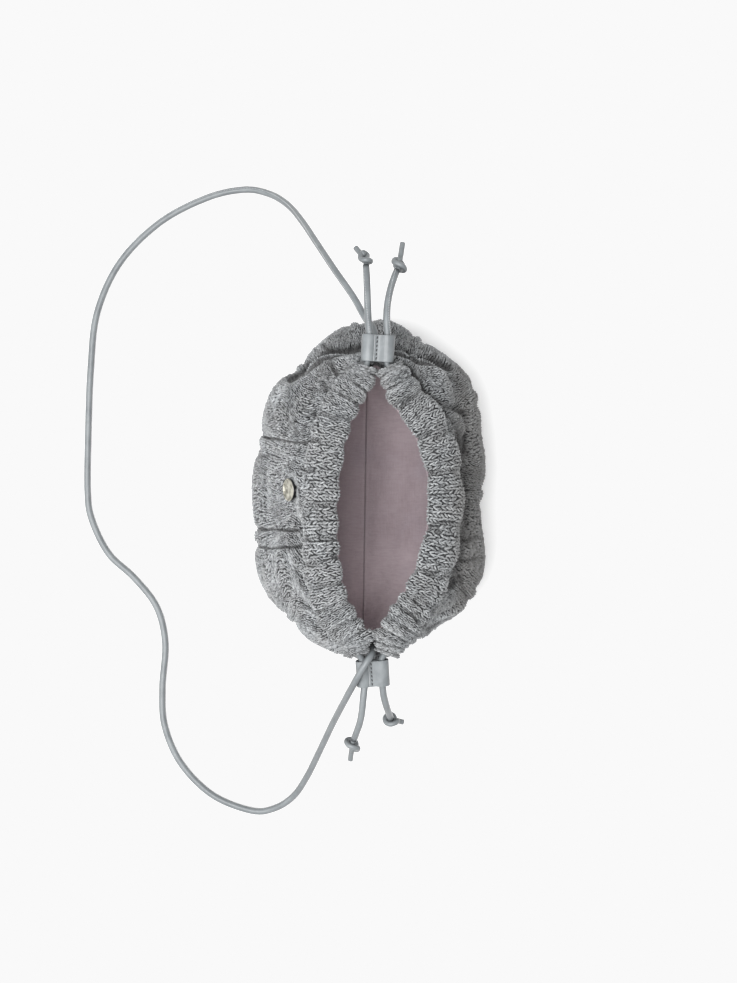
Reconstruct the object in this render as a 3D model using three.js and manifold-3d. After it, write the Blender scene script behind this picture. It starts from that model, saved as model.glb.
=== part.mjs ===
// A slouched drawstring pouch of cable knit with a woven lining, leather cords and a round leather strap.
// Millimetres, +Z up. The origin is the middle of the flat base, the front faces -Y and the mouth's
// long axis runs along X. Left is the -X end and right is the +X end, as seen from the front.
import * as THREE from 'three';
import { mergeVertices } from 'three/addons/utils/BufferGeometryUtils.js';
import Module from 'manifold-3d';

const wasm = await Module();
wasm.setup();

// Bag
const BODY_LENGTH = 272;
const BODY_DEPTH = 183;
const MOUTH_HEIGHT = 165;
const KNIT_WALL = 4;
const LINING_WALL = 1;
const CLOTH_GAP = 0.3;
const SEAM_GAP = 0.6;

// Casings round the mouth
const CASING_RUN = 223;
const CASING_WIDTH = 26;
const CASING_SHIFT = 14.5;
const CASING_WALL = 3;
const CASING_SLACK = 1.5;
const GATHERS = 14;
const GATHER_DEPTH = 1.6;
const FRONT_TUCK = 1.5;
const BACK_TUCK = 9;

// Cords, sliders and knots
const CORD_DIAMETER = 5.5;
const SLIDER_LENGTH = 21;
const SLIDER_SPREAD = 14;
const SLIDER_WAIST_DEG = 160;
const LEATHER = 1.6;
const CORD_CLEARANCE = 0.3;
const CHANNEL_PLAY = 1.2;
const STUB_START = 2;
const KNOT_LENGTH = 13;
const KNOT_WIDTH = 12;
const STOP_DIAMETER = 10;
const STOP_DEPTH = 2.5;

// Eyelets and medallion
const EYELET_PLAY = 0.35;
const EYELET_TUBE_WALL = 0.9;
const EYELET_FLANGE = 2.4;
const EYELET_FLANGE_THICKNESS = 1;
const EYELET_TAIL = 1;
const EYELET_LIFT = 0.6;
const MEDALLION_DIAMETER = 19;
const MEDALLION_THICKNESS = 2.2;
const MEDALLION_RIM = 1.4;
const METAL_GAP = 0.3;

// Lip of the lining under the casings: clearance, and how far each ring steps in at the notches
const LIP_CLEARANCE = 0.8;
const LIP_STEP = 1.5;

// Highest fold or cable bulge of the wall
const FOLD_HEIGHT = 6;

const CASING_THICKNESS = CORD_DIAMETER + 2 * CASING_WALL + CASING_SLACK;
const LINING_INSET = KNIT_WALL + CLOTH_GAP;
const UP = new THREE.Vector3(0, 0, 1);

// Heights of the wall's sections, as shares of the mouth height
const LEVELS = [
  { name: 'base', height: 0 },
  { name: 'low', height: 0.18 },
  { name: 'belly', height: 0.43 },
  { name: 'waist', height: 0.64 },
  { name: 'shoulder', height: 0.775 },
];
const NECK_LEVEL = LEVELS.length;

// Reach of each section, as a share of the half length and half depth. A row for each twelfth of the way
// round, from the left end by way of the front.
const SPOKES = [
  { base: 0.82, low: 0.94, belly: 1.0, waist: 0.77, shoulder: 0.78 },
  { base: 0.78, low: 0.91, belly: 0.955, waist: 0.85, shoulder: 0.83 },
  { base: 0.76, low: 0.92, belly: 0.99, waist: 0.93, shoulder: 0.8 },
  { base: 0.68, low: 0.85, belly: 0.985, waist: 0.76, shoulder: 0.62 },
  { base: 0.78, low: 0.94, belly: 1.035, waist: 0.93, shoulder: 0.77 },
  { base: 0.78, low: 0.9, belly: 0.965, waist: 0.955, shoulder: 0.93 },
  { base: 0.8, low: 0.88, belly: 0.94, waist: 0.95, shoulder: 0.95 },
  { base: 0.82, low: 0.92, belly: 0.97, waist: 0.9, shoulder: 0.9 },
  { base: 0.92, low: 1.05, belly: 1.075, waist: 0.94, shoulder: 0.83 },
  { base: 0.82, low: 0.95, belly: 0.96, waist: 0.75, shoulder: 0.66 },
  { base: 0.9, low: 1.04, belly: 1.06, waist: 0.88, shoulder: 0.83 },
  { base: 0.86, low: 0.97, belly: 1.0, waist: 0.85, shoulder: 0.87 },
];

// Sections of the two casings, from the left end to the right. along is a share of the casing's run, front
// and back are shares of the half depth, rise is a share of the mouth height, width is a share of the widest
// casing, tilt is in degrees, outer edge down, and closed is how far the channel has drawn in to the cord.
const CASING_SECTIONS = [
  { along: 0, front: -0.04, back: 0.18, width: 0.6, rise: 0.897, tilt: 8, closed: 1 },
  { along: 0.04, front: -0.07, back: 0.225, width: 0.8, rise: 0.912, tilt: 18, closed: 0.6 },
  { along: 0.103, front: -0.18, back: 0.311, width: 0.92, rise: 0.927, tilt: 28, closed: 0.2 },
  { along: 0.193, front: -0.295, back: 0.486, width: 0.96, rise: 0.94, tilt: 34, closed: 0 },
  { along: 0.327, front: -0.372, back: 0.612, width: 0.96, rise: 0.948, tilt: 35, closed: 0 },
  { along: 0.489, front: -0.404, back: 0.645, width: 0.92, rise: 0.951, tilt: 35, closed: 0 },
  { along: 0.659, front: -0.393, back: 0.579, width: 0.96, rise: 0.951, tilt: 35, closed: 0 },
  { along: 0.794, front: -0.344, back: 0.448, width: 1, rise: 0.945, tilt: 34, closed: 0 },
  { along: 0.883, front: -0.24, back: 0.295, width: 0.98, rise: 0.93, tilt: 28, closed: 0.2 },
  { along: 0.946, front: -0.125, back: 0.2, width: 0.86, rise: 0.9, tilt: 18, closed: 0.6 },
  { along: 1, front: -0.1, back: 0.152, width: 0.62, rise: 0.87, tilt: 8, closed: 1 },
];
const LAST_SECTION = CASING_SECTIONS.length - 1;

// The wall's rim between the casings' ends: how far it lies towards +X from them and below them, as shares
// of the widest casing
const NOTCHES = {
  left: { around: 0, reach: -0.21, drop: 0.35 },
  right: { around: 0.5, reach: -0.54, drop: 0.365 },
};
const NOTCH_HALF_WIDTH = 0.085;

// Folds and cable bulges: place round and up the wall, how far each spreads, and its height as a share of
// the highest
const FOLDS = [
  { around: 0.206, up: 3.9, spread: 0.012, rise: 1.1, height: -0.53 },
  { around: 0.284, up: 3.9, spread: 0.012, rise: 1.1, height: -0.53 },
  { around: 0.155, up: 3.2, spread: 0.03, rise: 0.9, height: 0.83 },
  { around: 0.335, up: 3.2, spread: 0.034, rise: 0.9, height: 1 },
  { around: 0.245, up: 3.1, spread: 0.024, rise: 1.2, height: 0.4 },
  { around: 0.085, up: 3.9, spread: 0.02, rise: 0.5, height: 0.67 },
  { around: 0.11, up: 2.7, spread: 0.014, rise: 0.6, height: -0.5 },
  { around: 0.03, up: 2.0, spread: 0.02, rise: 0.7, height: 0.67 },
  { around: 0.97, up: 2.1, spread: 0.02, rise: 0.7, height: 0.67 },
  { around: 0.0, up: 2.1, spread: 0.01, rise: 0.8, height: -0.5 },
  { around: 0.41, up: 3.4, spread: 0.018, rise: 0.8, height: 0.58 },
  { around: 0.45, up: 2.2, spread: 0.014, rise: 0.8, height: -0.42 },
  { around: 0.57, up: 3.0, spread: 0.016, rise: 0.7, height: 0.58 },
  { around: 0.61, up: 2.9, spread: 0.012, rise: 0.8, height: -0.5 },
  { around: 0.665, up: 2.0, spread: 0.026, rise: 0.8, height: 0.5 },
  { around: 0.72, up: 2.2, spread: 0.014, rise: 0.8, height: -0.5 },
  { around: 0.765, up: 2.0, spread: 0.02, rise: 0.8, height: 0.5 },
  { around: 0.805, up: 2.3, spread: 0.012, rise: 0.8, height: -0.5 },
  { around: 0.85, up: 2.1, spread: 0.024, rise: 0.8, height: 0.67 },
  { around: 0.885, up: 3.5, spread: 0.022, rise: 0.35, height: 0.75 },
  { around: 0.91, up: 3.0, spread: 0.02, rise: 0.3, height: -0.5 },
];
const FOLD_FADE = 0.6;

// Place of the eyelets and the medallion round and up the wall
const EYELETS = { left: { around: 0.985, up: 4.15 }, right: { around: 0.508, up: 4.5 } };
const MEDALLION_PLACE = { around: 0.2485, up: 3.84 };

// Sliders: the way that the cords leave them, and the gap between each slider and the casings' ends, as a
// share of the slider's length
const SLIDERS = {
  left: { direction: [-1, 0.06, -0.01], gap: 0.14 },
  right: { direction: [1, 0.06, -0.22], gap: 0.21 },
};

// The lining sags from the wall, LINING_FOOT up it, to a seam along the bag: the seam's height, half length
// and middle, and the shares of the way from seam to wall at which its rings lie
const LINING_FOOT = 2.3;
const SEAM_HEIGHT = 48;
const SEAM_HALF_LENGTH = 86;
const SEAM_MIDDLE = { x: 12, y: -3 };
const SAG_RINGS = [0.04, 0.35, 0.68];

// Rings of the lining's lip: place across the casing, and steps in from the wall at the notches
const LIP_RINGS = [{ across: 0.1, steps: 1 }, { across: -0.45, steps: 2 }, { across: -0.8, steps: 3 }];

// Profiles of the eyelet's flange and the medallion, as shares of the flange's or the medallion's thickness
// and of the flange's reach or the medallion's rim
const EYELET_CROWN = [{ reach: 1, height: 0.7 }, { reach: 0.5, height: 1.5 }, { reach: 0, height: 1 }];
const MEDALLION_FACE = [
  { rims: 0, height: 0.75 }, { rims: 0.4, height: 1 }, { rims: 1, height: 0.75 }, { rims: 1.5, height: 0.6 },
];
const MEDALLION_EDGE = 0.2;
const MEDALLION_MIDDLE = 0.8;

// Facets
const OUTER_COLUMNS = 72;
const INNER_COLUMNS = OUTER_COLUMNS / 2;
const OUTER_RINGS = [0, 0.4, 0.8, 1.2, 1.6, 2, 2.35, 2.7, 3, 3.3, 3.6, 3.9, 4.2, 4.6, NECK_LEVEL];
const LINING_RINGS = [LINING_FOOT, 3, 3.6, 4.2, NECK_LEVEL];
const INNER_RINGS = [0.35, 1, 1.7, ...LINING_RINGS];
const CASING_SIDES = 10;
const CASING_STEPS = 42;
const CHANNEL_STEPS = 12;
const CORD_SIDES = 8;
const LUMP_ROWS = 6;
const DRAWCORD_STEPS = 38;
const STUB_STEPS = 10;
const STRAP_STEPS = 64;
const LOBE_SIDES = 8;
const HOLE_SIDES = 14;
const MEDALLION_SIDES = 20;

// Cord ends past the sliders, from the slider outwards
const STUB_ROUTES = {
  front_left: [[-132.4, -0.2, 147.6], [-148, -0.8, 145], [-164, -1.3, 139.8], [-175.6, -2, 133]],
  back_left: [
    [-132.4, 14, 147.6], [-144, 14.6, 146], [-156, 16.8, 142], [-166.5, 20, 136.5], [-171.6, 22, 132.6],
  ],
  front_right: [
    [161.9, -4.2, 136.6], [171.3, -5.1, 133], [180.7, -6.8, 127.2], [189.9, -9.8, 119.2], [195, -11.4, 114],
  ],
  back_right: [[158.2, 11.7, 135], [166.7, 13.7, 126.8], [174.2, 16, 114.5], [178.6, 17.3, 104]],
};

// Ends of the knots' tails
const KNOT_TAILS = {
  front_left: [-190.8, -10, 121.5],
  back_left: [-194.5, 26.7, 118.5],
  front_right: [212.5, -14.3, 97.5],
  back_right: [183.4, 29, 91],
};

// The strap from the left eyelet, under the left slider, round the floor and over the right slider
const STRAP_ROUTE = [
  [-117.2, 5.7, 133], [-126.5, 3.6, 133.6], [-137, -3.5, 129.5], [-153, -12.2, 120], [-176, -27.2, 100],
  [-199, -41.3, 74], [-220.5, -54.5, 47], [-236, -66.5, 24], [-246.6, -82, 9.5], [-251, -103, 4],
  [-244.5, -134, 2.9], [-224.1, -173.3, 2.9], [-190.8, -206.7, 2.9], [-148.8, -225.9, 2.9],
  [-101.3, -231.3, 2.9], [-48.8, -233.3, 2.9], [0.4, -233.8, 2.9], [23.8, -230.2, 2.9],
  [51.8, -216.3, 2.9], [72.1, -194.8, 2.9], [96.3, -176.3, 2.9], [126.3, -169.2, 2.9],
  [163.4, -171.6, 2.9], [195, -169.7, 2.9], [226.7, -155.8, 2.9], [252.7, -129.7, 2.9],
  [265.5, -97, 3.9], [263, -78, 7], [252.3, -62.5, 15], [234.2, -50.8, 33], [209, -39.2, 61],
  [183.2, -27.9, 93], [160, -16.9, 129], [151, -12.4, 140.7], [144, -8.8, 147.7], [136.5, -4.6, 151.4],
  [130.2, -0.8, 151.7], [126.2, 2.2, 148.2], [123.6, 3.4, 142.6],
];

function cubic(before, from, to, after, share) {
  const bend = 2 * before - 5 * from + 4 * to - after;
  const twist = 3 * (from - to) + after - before;
  return from + 0.5 * share * (to - before + share * (bend + share * twist));
}

function cubicPoint(points, place) {
  const last = points.length - 1;
  const k = Math.min(Math.floor(place), last - 1);
  const before = points[k - 1] ?? points[0].clone().multiplyScalar(2).sub(points[1]);
  const after = points[k + 2] ?? points[last].clone().multiplyScalar(2).sub(points[last - 1]);
  const one = (axis) => cubic(before[axis], points[k][axis], points[k + 1][axis], after[axis], place - k);
  return new THREE.Vector3(one('x'), one('y'), one('z'));
}

function smoothStep(share) {
  const held = Math.min(Math.max(share, 0), 1);
  return held * held * (3 - 2 * held);
}

// Casings

const casingX = (section) => CASING_SHIFT + CASING_RUN * (section.along - 0.5);

const casingCentres = {};
for (const side of ['front', 'back']) {
  casingCentres[side] = CASING_SECTIONS.map((section) => new THREE.Vector3(
    casingX(section), section[side] * BODY_DEPTH / 2, section.rise * MOUTH_HEIGHT));
}

function casingValue(column, place) {
  const k = Math.min(Math.floor(place), LAST_SECTION - 1);
  const at = (i) => CASING_SECTIONS[Math.min(Math.max(i, 0), LAST_SECTION)][column];
  return cubic(at(k - 1), at(k), at(k + 1), at(k + 2), place - k);
}

function casingFrame(side, place) {
  const centre = cubicPoint(casingCentres[side], place);
  const step = 0.02;
  const ahead = cubicPoint(casingCentres[side], Math.min(place + step, LAST_SECTION));
  const behind = cubicPoint(casingCentres[side], Math.max(place - step, 0));
  const along = ahead.sub(behind).normalize();
  const outward = new THREE.Vector3().crossVectors(along, UP).normalize();
  if (side === 'back') {
    outward.negate();
  }
  const tilt = THREE.MathUtils.degToRad(casingValue('tilt', place));
  const halfWidth = CASING_WIDTH * casingValue('width', place) / 2 / Math.cos(tilt);
  const closed = casingValue('closed', place);
  const halfThickness = CASING_THICKNESS / 2;
  const open = halfWidth - CASING_WALL;
  const channelHalfWidth = open + closed * (halfThickness - CASING_WALL - open);
  const channelAcross = -closed * (open - channelHalfWidth);
  return { centre, outward, tilt, halfWidth, halfThickness, channelHalfWidth, channelAcross };
}

function casingPoint(frame, across, through) {
  const out = across * Math.cos(frame.tilt) + through * Math.sin(frame.tilt);
  const up = through * Math.cos(frame.tilt) - across * Math.sin(frame.tilt);
  return frame.centre.clone().addScaledVector(frame.outward, out).addScaledVector(UP, up);
}

// A point just under a casing, at a distance from its middle towards its outer edge
function underCasing(frame, across, clearance) {
  const share = Math.min(Math.abs(across / frame.halfWidth), 1);
  return casingPoint(frame, across, -frame.halfThickness * Math.sqrt(1 - share * share) - clearance);
}

// Wall of the bag

function casingPlace(around) {
  return LAST_SECTION * (around <= 0.5 ? 2 * around : 2 - 2 * around);
}

// The point midway between the ends of the two casings
function casingsEnd(end) {
  const k = end === 'left' ? 0 : LAST_SECTION;
  return casingCentres.front[k].clone().add(casingCentres.back[k]).multiplyScalar(0.5);
}

function notchPoint(end) {
  const middle = casingsEnd(end);
  middle.x += CASING_WIDTH * NOTCHES[end].reach;
  middle.z -= CASING_WIDTH * NOTCHES[end].drop;
  return middle;
}

const notchPoints = { left: notchPoint('left'), right: notchPoint('right') };

// Blends a ring that follows the casings into the notch between their ends
function throughNotch(around, point, inset, lift) {
  const fromLeft = Math.min(around, 1 - around);
  const fromRight = Math.abs(around - 0.5);
  const end = fromLeft < fromRight ? 'left' : 'right';
  const share = 1 - smoothStep(Math.min(fromLeft, fromRight) / NOTCH_HALF_WIDTH);
  const notch = notchPoints[end].clone();
  notch.x += end === 'left' ? inset : -inset;
  notch.z += lift;
  return point.lerp(notch, share);
}

const sideAt = (around) => (around <= 0.5 ? 'front' : 'back');

function neckPoint(around) {
  const frame = casingFrame(sideAt(around), casingPlace(around));
  const tuck = sideAt(around) === 'front' ? FRONT_TUCK : BACK_TUCK;
  const across = Math.max(frame.halfWidth - tuck, 0);
  return throughNotch(around, underCasing(frame, across, SEAM_GAP), 0, 0);
}

function spokeValue(level, around) {
  const count = SPOKES.length;
  const place = around * count;
  const k = Math.floor(place);
  const at = (i) => SPOKES[(k + i + count) % count][level];
  return cubic(at(-1), at(0), at(1), at(2), place - k);
}

function wallControls(around) {
  const turn = Math.PI * (1 + 2 * around);
  const controls = LEVELS.map(({ name, height }) => {
    const share = spokeValue(name, around) / 2;
    return new THREE.Vector3(
      BODY_LENGTH * share * Math.cos(turn), BODY_DEPTH * share * Math.sin(turn), MOUTH_HEIGHT * height);
  });
  controls.push(neckPoint(around));
  return controls;
}

const wrap = (around) => ((around % 1) + 1) % 1;

function smoothWall(around, up) {
  return cubicPoint(wallControls(wrap(around)), up);
}

function wallNormal(around, up) {
  const step = 0.01;
  const ahead = smoothWall(around + step, up).sub(smoothWall(around - step, up));
  const above = smoothWall(around, Math.min(up + step, NECK_LEVEL));
  const below = smoothWall(around, Math.max(up - step, 0));
  return ahead.cross(above.sub(below)).normalize();
}

function foldHeight(around, up) {
  let height = 0;
  for (const fold of FOLDS) {
    const apart = Math.abs(around - fold.around);
    const across = Math.min(apart, 1 - apart) / fold.spread;
    const along = (up - fold.up) / fold.rise;
    height += FOLD_HEIGHT * fold.height * Math.exp(-0.5 * (across * across + along * along));
  }
  return height * smoothStep(up / FOLD_FADE) * smoothStep((NECK_LEVEL - up) / FOLD_FADE);
}

function outerWall(around, up) {
  return smoothWall(around, up).addScaledVector(wallNormal(around, up), foldHeight(around, up));
}

function insetWall(around, up, inset) {
  const point = smoothWall(around, up).addScaledVector(wallNormal(around, up), -inset);
  if (up === INNER_RINGS[0]) {
    point.z = inset;
  }
  return point;
}

// Meshes

function closedMesh(corners, triangles) {
  const geometry = new THREE.BufferGeometry();
  geometry.setAttribute('position', new THREE.Float32BufferAttribute(corners.flatMap((p) => p.toArray()), 3));
  geometry.setIndex(triangles);
  return geometry;
}

// Joins rings of points in order. A ring may have half as many points as the one before it. Each end is
// closed by a fan to a point, or the last ring is joined to the first.
function ringMesh(rings, startPoint, endPoint) {
  const corners = rings.flat();
  const starts = [];
  let total = 0;
  for (const ring of rings) {
    starts.push(total);
    total += ring.length;
  }
  const triangles = [];
  const joinRings = (from, to) => {
    const count = rings[to].length;
    const ratio = rings[from].length / count;
    const low = (i) => starts[from] + i % rings[from].length;
    const high = (i) => starts[to] + i % count;
    // Walls that lie side by side are split along the same diagonal, whichever way their rings run
    const falling = ratio === 1 && rings[to][0].z < rings[from][0].z;
    for (let i = 0; i < count; i += 1) {
      if (falling) {
        triangles.push(low(i), low(i + 1), high(i + 1), low(i), high(i + 1), high(i));
        continue;
      }
      for (let k = 0; k < ratio; k += 1) {
        triangles.push(low(ratio * i + k), low(ratio * i + k + 1), high(k === 0 ? i : i + 1));
        if (k === 0) {
          triangles.push(low(ratio * i + 1), high(i + 1), high(i));
        }
      }
    }
  };
  for (let k = 1; k < rings.length; k += 1) {
    joinRings(k - 1, k);
  }
  if (!startPoint) {
    joinRings(rings.length - 1, 0);
    return closedMesh(corners, triangles);
  }
  const last = rings.length - 1;
  corners.push(startPoint, endPoint);
  for (let i = 0; i < rings[0].length; i += 1) {
    triangles.push(total, (i + 1) % rings[0].length, i);
  }
  for (let i = 0; i < rings[last].length; i += 1) {
    triangles.push(total + 1, starts[last] + i, starts[last] + (i + 1) % rings[last].length);
  }
  return closedMesh(corners, triangles);
}

function ringOf(columns, pointAt) {
  return Array.from({ length: columns }, (_, i) => pointAt(i / columns));
}

function solidOf(geometry) {
  const bare = geometry.clone();
  bare.deleteAttribute('normal');
  bare.deleteAttribute('uv');
  const merged = mergeVertices(bare, 1e-4);
  return new wasm.Manifold(new wasm.Mesh({
    numProp: 3,
    vertProperties: new Float32Array(merged.attributes.position.array),
    triVerts: new Uint32Array(merged.index.array),
  }));
}

function geometryOf(solid) {
  const { vertProperties, triVerts } = solid.getMesh();
  const geometry = new THREE.BufferGeometry();
  geometry.setAttribute('position', new THREE.BufferAttribute(new Float32Array(vertProperties), 3));
  geometry.setIndex(new THREE.BufferAttribute(new Uint32Array(triVerts), 1));
  return geometry;
}

// Turns a shape made along +Y to point along a direction from a place
function placed(geometry, place, direction) {
  const turn = new THREE.Quaternion().setFromUnitVectors(new THREE.Vector3(0, 1, 0), direction);
  const matrix = new THREE.Matrix4().compose(place, turn, new THREE.Vector3(1, 1, 1));
  return geometry.applyMatrix4(matrix);
}

function pointedAt(place, target) {
  return target.clone().sub(place).normalize();
}

function tube(points, diameter, sides, steps) {
  const section = new THREE.Shape();
  for (let i = 0; i < sides; i += 1) {
    const turn = 2 * Math.PI * i / sides;
    const corner = [diameter / 2 * Math.cos(turn), diameter / 2 * Math.sin(turn)];
    if (i === 0) {
      section.moveTo(...corner);
    } else {
      section.lineTo(...corner);
    }
  }
  section.closePath();
  const extrudePath = new THREE.CatmullRomCurve3(points);
  return new THREE.ExtrudeGeometry(section, { steps, extrudePath, bevelEnabled: false });
}

const group = new THREE.Group();
group.name = 'knit_pouch';

function addPiece(name, geometry, material) {
  const mesh = new THREE.Mesh(geometry, material.clone());
  mesh.name = name;
  group.add(mesh);
}

const knit = new THREE.MeshStandardMaterial({ color: 0x9a9c9d, roughness: 0.95, metalness: 0 });
const cotton = new THREE.MeshStandardMaterial({ color: 0x87797b, roughness: 0.9, metalness: 0 });
const leather = new THREE.MeshStandardMaterial({ color: 0x9aa2a5, roughness: 0.45, metalness: 0 });
const darkMetal = new THREE.MeshStandardMaterial({ color: 0x3a3b3d, roughness: 0.35, metalness: 1 });
const paleMetal = new THREE.MeshStandardMaterial({ color: 0xc9c7b4, roughness: 0.3, metalness: 1 });

// Eyelets, whose tubes pierce the wall and the lining

const boreRadius = CORD_DIAMETER / 2 + EYELET_PLAY;
const eyeletTubeRadius = boreRadius + EYELET_TUBE_WALL;
const eyeletFlangeRadius = eyeletTubeRadius + EYELET_FLANGE;
const clothThickness = LINING_INSET + LINING_WALL;
const eyelets = {};
for (const [end, { around, up }] of Object.entries(EYELETS)) {
  eyelets[end] = { place: smoothWall(around, up), axis: wallNormal(around, up) };
}

function eyeletGeometry({ place, axis }) {
  const depth = clothThickness + EYELET_TAIL;
  const crown = EYELET_CROWN.map(({ reach, height }) => [
    boreRadius + reach * (eyeletFlangeRadius - boreRadius), EYELET_LIFT + height * EYELET_FLANGE_THICKNESS]);
  const profile = [
    [boreRadius, -depth], [eyeletTubeRadius, -depth], [eyeletTubeRadius, EYELET_LIFT],
    [eyeletFlangeRadius, EYELET_LIFT], ...crown, [boreRadius, -depth],
  ].map(([radius, height]) => new THREE.Vector2(radius, height));
  return placed(new THREE.LatheGeometry(profile, HOLE_SIDES), place, axis);
}

// Cuts a hole for each eyelet's tube and clears the cloth from its flange
function pierced(geometry) {
  const reach = clothThickness + EYELET_TAIL + EYELET_FLANGE;
  const cuts = [
    { radius: eyeletTubeRadius, from: -reach },
    { radius: eyeletFlangeRadius, from: EYELET_LIFT - METAL_GAP },
  ];
  let solid = solidOf(geometry);
  for (const { place, axis } of Object.values(eyelets)) {
    for (const { radius, from } of cuts) {
      const cutter = new THREE.CylinderGeometry(
        radius + METAL_GAP, radius + METAL_GAP, reach - from, HOLE_SIDES);
      cutter.translate(0, (reach + from) / 2, 0);
      solid = solid.subtract(solidOf(placed(cutter, place, axis)));
    }
  }
  return geometryOf(solid);
}

// The knitted wall, open at the neck

const wallRings = OUTER_RINGS.map((up) => ringOf(OUTER_COLUMNS, (around) => outerWall(around, up)));
for (const up of [...INNER_RINGS].reverse()) {
  wallRings.push(ringOf(INNER_COLUMNS, (around) => insetWall(around, up, KNIT_WALL)));
}
const baseCentre = new THREE.Vector3(0, 0, 0);
addPiece('knit_body', pierced(ringMesh(wallRings, baseCentre, new THREE.Vector3(0, 0, KNIT_WALL))), knit);

// The lining, which goes on past the neck and lies under the casings to their inner edges

const levelRise = MOUTH_HEIGHT * (LEVELS[3].height - LEVELS[2].height);

// One ring of the lining against the wall. At its foot the inner face turns in above the outer one.
function liningPoint(around, up, depth) {
  const level = up === LINING_FOOT ? up + depth / levelRise : up;
  return insetWall(around, level, LINING_INSET + depth);
}

const seamCentre = (depth) => new THREE.Vector3(SEAM_MIDDLE.x, SEAM_MIDDLE.y, SEAM_HEIGHT + depth);

function sagPoint(around, share, depth) {
  const seam = seamCentre(depth);
  seam.x -= SEAM_HALF_LENGTH * Math.cos(2 * Math.PI * around);
  return seam.lerp(liningPoint(around, LINING_FOOT, depth), share);
}

function lipPoint(around, ring, depth) {
  const frame = casingFrame(sideAt(around), casingPlace(around));
  const point = underCasing(frame, ring.across * frame.halfWidth, LIP_CLEARANCE + depth);
  const lowered = -LIP_CLEARANCE - depth;
  return throughNotch(around, point, LINING_INSET + depth + ring.steps * LIP_STEP, lowered);
}

// Rings of one face of the lining, from its seam to its lip
function liningFace(depth) {
  return [
    ...SAG_RINGS.map((share) => ringOf(INNER_COLUMNS, (around) => sagPoint(around, share, depth))),
    ...LINING_RINGS.map((up) => ringOf(INNER_COLUMNS, (around) => liningPoint(around, up, depth))),
    ...LIP_RINGS.map((ring) => ringOf(INNER_COLUMNS, (around) => lipPoint(around, ring, depth))),
  ];
}

const liningRings = [...liningFace(0), ...liningFace(LINING_WALL).reverse()];
addPiece('lining', pierced(ringMesh(liningRings, seamCentre(0), seamCentre(LINING_WALL))), cotton);

// The casings: gathered tubes, open at both ends for the drawcord

const facingOut = (side, ring) => (side === 'back' ? ring : ring.reverse());

function gatheredRing(side, share) {
  const frame = casingFrame(side, share * LAST_SECTION);
  return facingOut(side, ringOf(CASING_SIDES, (turnShare) => {
    const turn = 2 * Math.PI * turnShare;
    const pleat = 0.5 + 0.5 * Math.cos(2 * Math.PI * GATHERS * share);
    const sunk = GATHER_DEPTH * pleat * Math.max(Math.sin(turn), 0);
    return casingPoint(
      frame, (frame.halfWidth - sunk) * Math.cos(turn), (frame.halfThickness - sunk) * Math.sin(turn));
  }));
}

function channelRing(side, share) {
  const frame = casingFrame(side, share * LAST_SECTION);
  return facingOut(side, ringOf(CASING_SIDES, (turnShare) => {
    const turn = 2 * Math.PI * turnShare;
    const across = frame.channelAcross + frame.channelHalfWidth * Math.cos(turn);
    return casingPoint(frame, across, (frame.halfThickness - CASING_WALL) * Math.sin(turn));
  }));
}

for (const side of ['front', 'back']) {
  const rings = [];
  for (let k = 0; k <= CASING_STEPS; k += 1) {
    rings.push(gatheredRing(side, k / CASING_STEPS));
  }
  for (let k = CHANNEL_STEPS; k >= 0; k -= 1) {
    rings.push(channelRing(side, k / CHANNEL_STEPS));
  }
  addPiece(`${side}_casing`, ringMesh(rings), knit);
}

// Sliders, each a leather band with two channels, made along +Z and turned to the cords

const waistTurn = THREE.MathUtils.degToRad(SLIDER_WAIST_DEG);
const channelHalfHeight = CORD_DIAMETER / 2 + CORD_CLEARANCE;
const channelHalfWidth = channelHalfHeight + CHANNEL_PLAY;

function sliderFrame(end) {
  const direction = new THREE.Vector3(...SLIDERS[end].direction).normalize();
  const sideways = new THREE.Vector3().crossVectors(UP, direction).normalize();
  const upward = new THREE.Vector3().crossVectors(direction, sideways);
  const centre = casingsEnd(end).addScaledVector(direction, SLIDER_LENGTH * (0.5 + SLIDERS[end].gap));
  return { centre, direction, sideways, upward };
}

// A point in a slider's channel, at a distance along it from the slider's middle
function channelPoint(end, side, along) {
  const { centre, direction, sideways } = sliderFrame(end);
  const towardsBack = side === 'back' ? 1 : -1;
  const across = towardsBack * Math.sign(sideways.y) * SLIDER_SPREAD / 2;
  return centre.clone().addScaledVector(direction, along).addScaledVector(sideways, across);
}

function sliderGeometry(end) {
  const outline = new THREE.Shape();
  for (const lobe of [1, -1]) {
    for (let i = 0; i <= LOBE_SIDES; i += 1) {
      const turn = waistTurn * (2 * i / LOBE_SIDES - 1);
      const x = lobe * (SLIDER_SPREAD / 2 + (channelHalfWidth + LEATHER) * Math.cos(turn));
      const y = lobe * (channelHalfHeight + LEATHER) * Math.sin(turn);
      if (lobe === 1 && i === 0) {
        outline.moveTo(x, y);
      } else {
        outline.lineTo(x, y);
      }
    }
  }
  outline.closePath();
  for (const lobe of [1, -1]) {
    const channel = new THREE.Path();
    channel.absellipse(
      lobe * SLIDER_SPREAD / 2, 0, channelHalfWidth, channelHalfHeight, 0, 2 * Math.PI, true, 0);
    outline.holes.push(channel);
  }
  const geometry = new THREE.ExtrudeGeometry(
    outline, { depth: SLIDER_LENGTH, bevelEnabled: false, curveSegments: LOBE_SIDES });
  geometry.translate(0, 0, -SLIDER_LENGTH / 2);
  const { centre, direction, sideways, upward } = sliderFrame(end);
  const matrix = new THREE.Matrix4().makeBasis(sideways, upward, direction).setPosition(centre);
  return geometry.applyMatrix4(matrix);
}

for (const end of ['left', 'right']) {
  addPiece(`slider_${end}`, sliderGeometry(end), leather);
}

// Drawcords, from slider to slider through the casings

const jointAlong = SLIDER_LENGTH / 2 - STUB_START;

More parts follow.
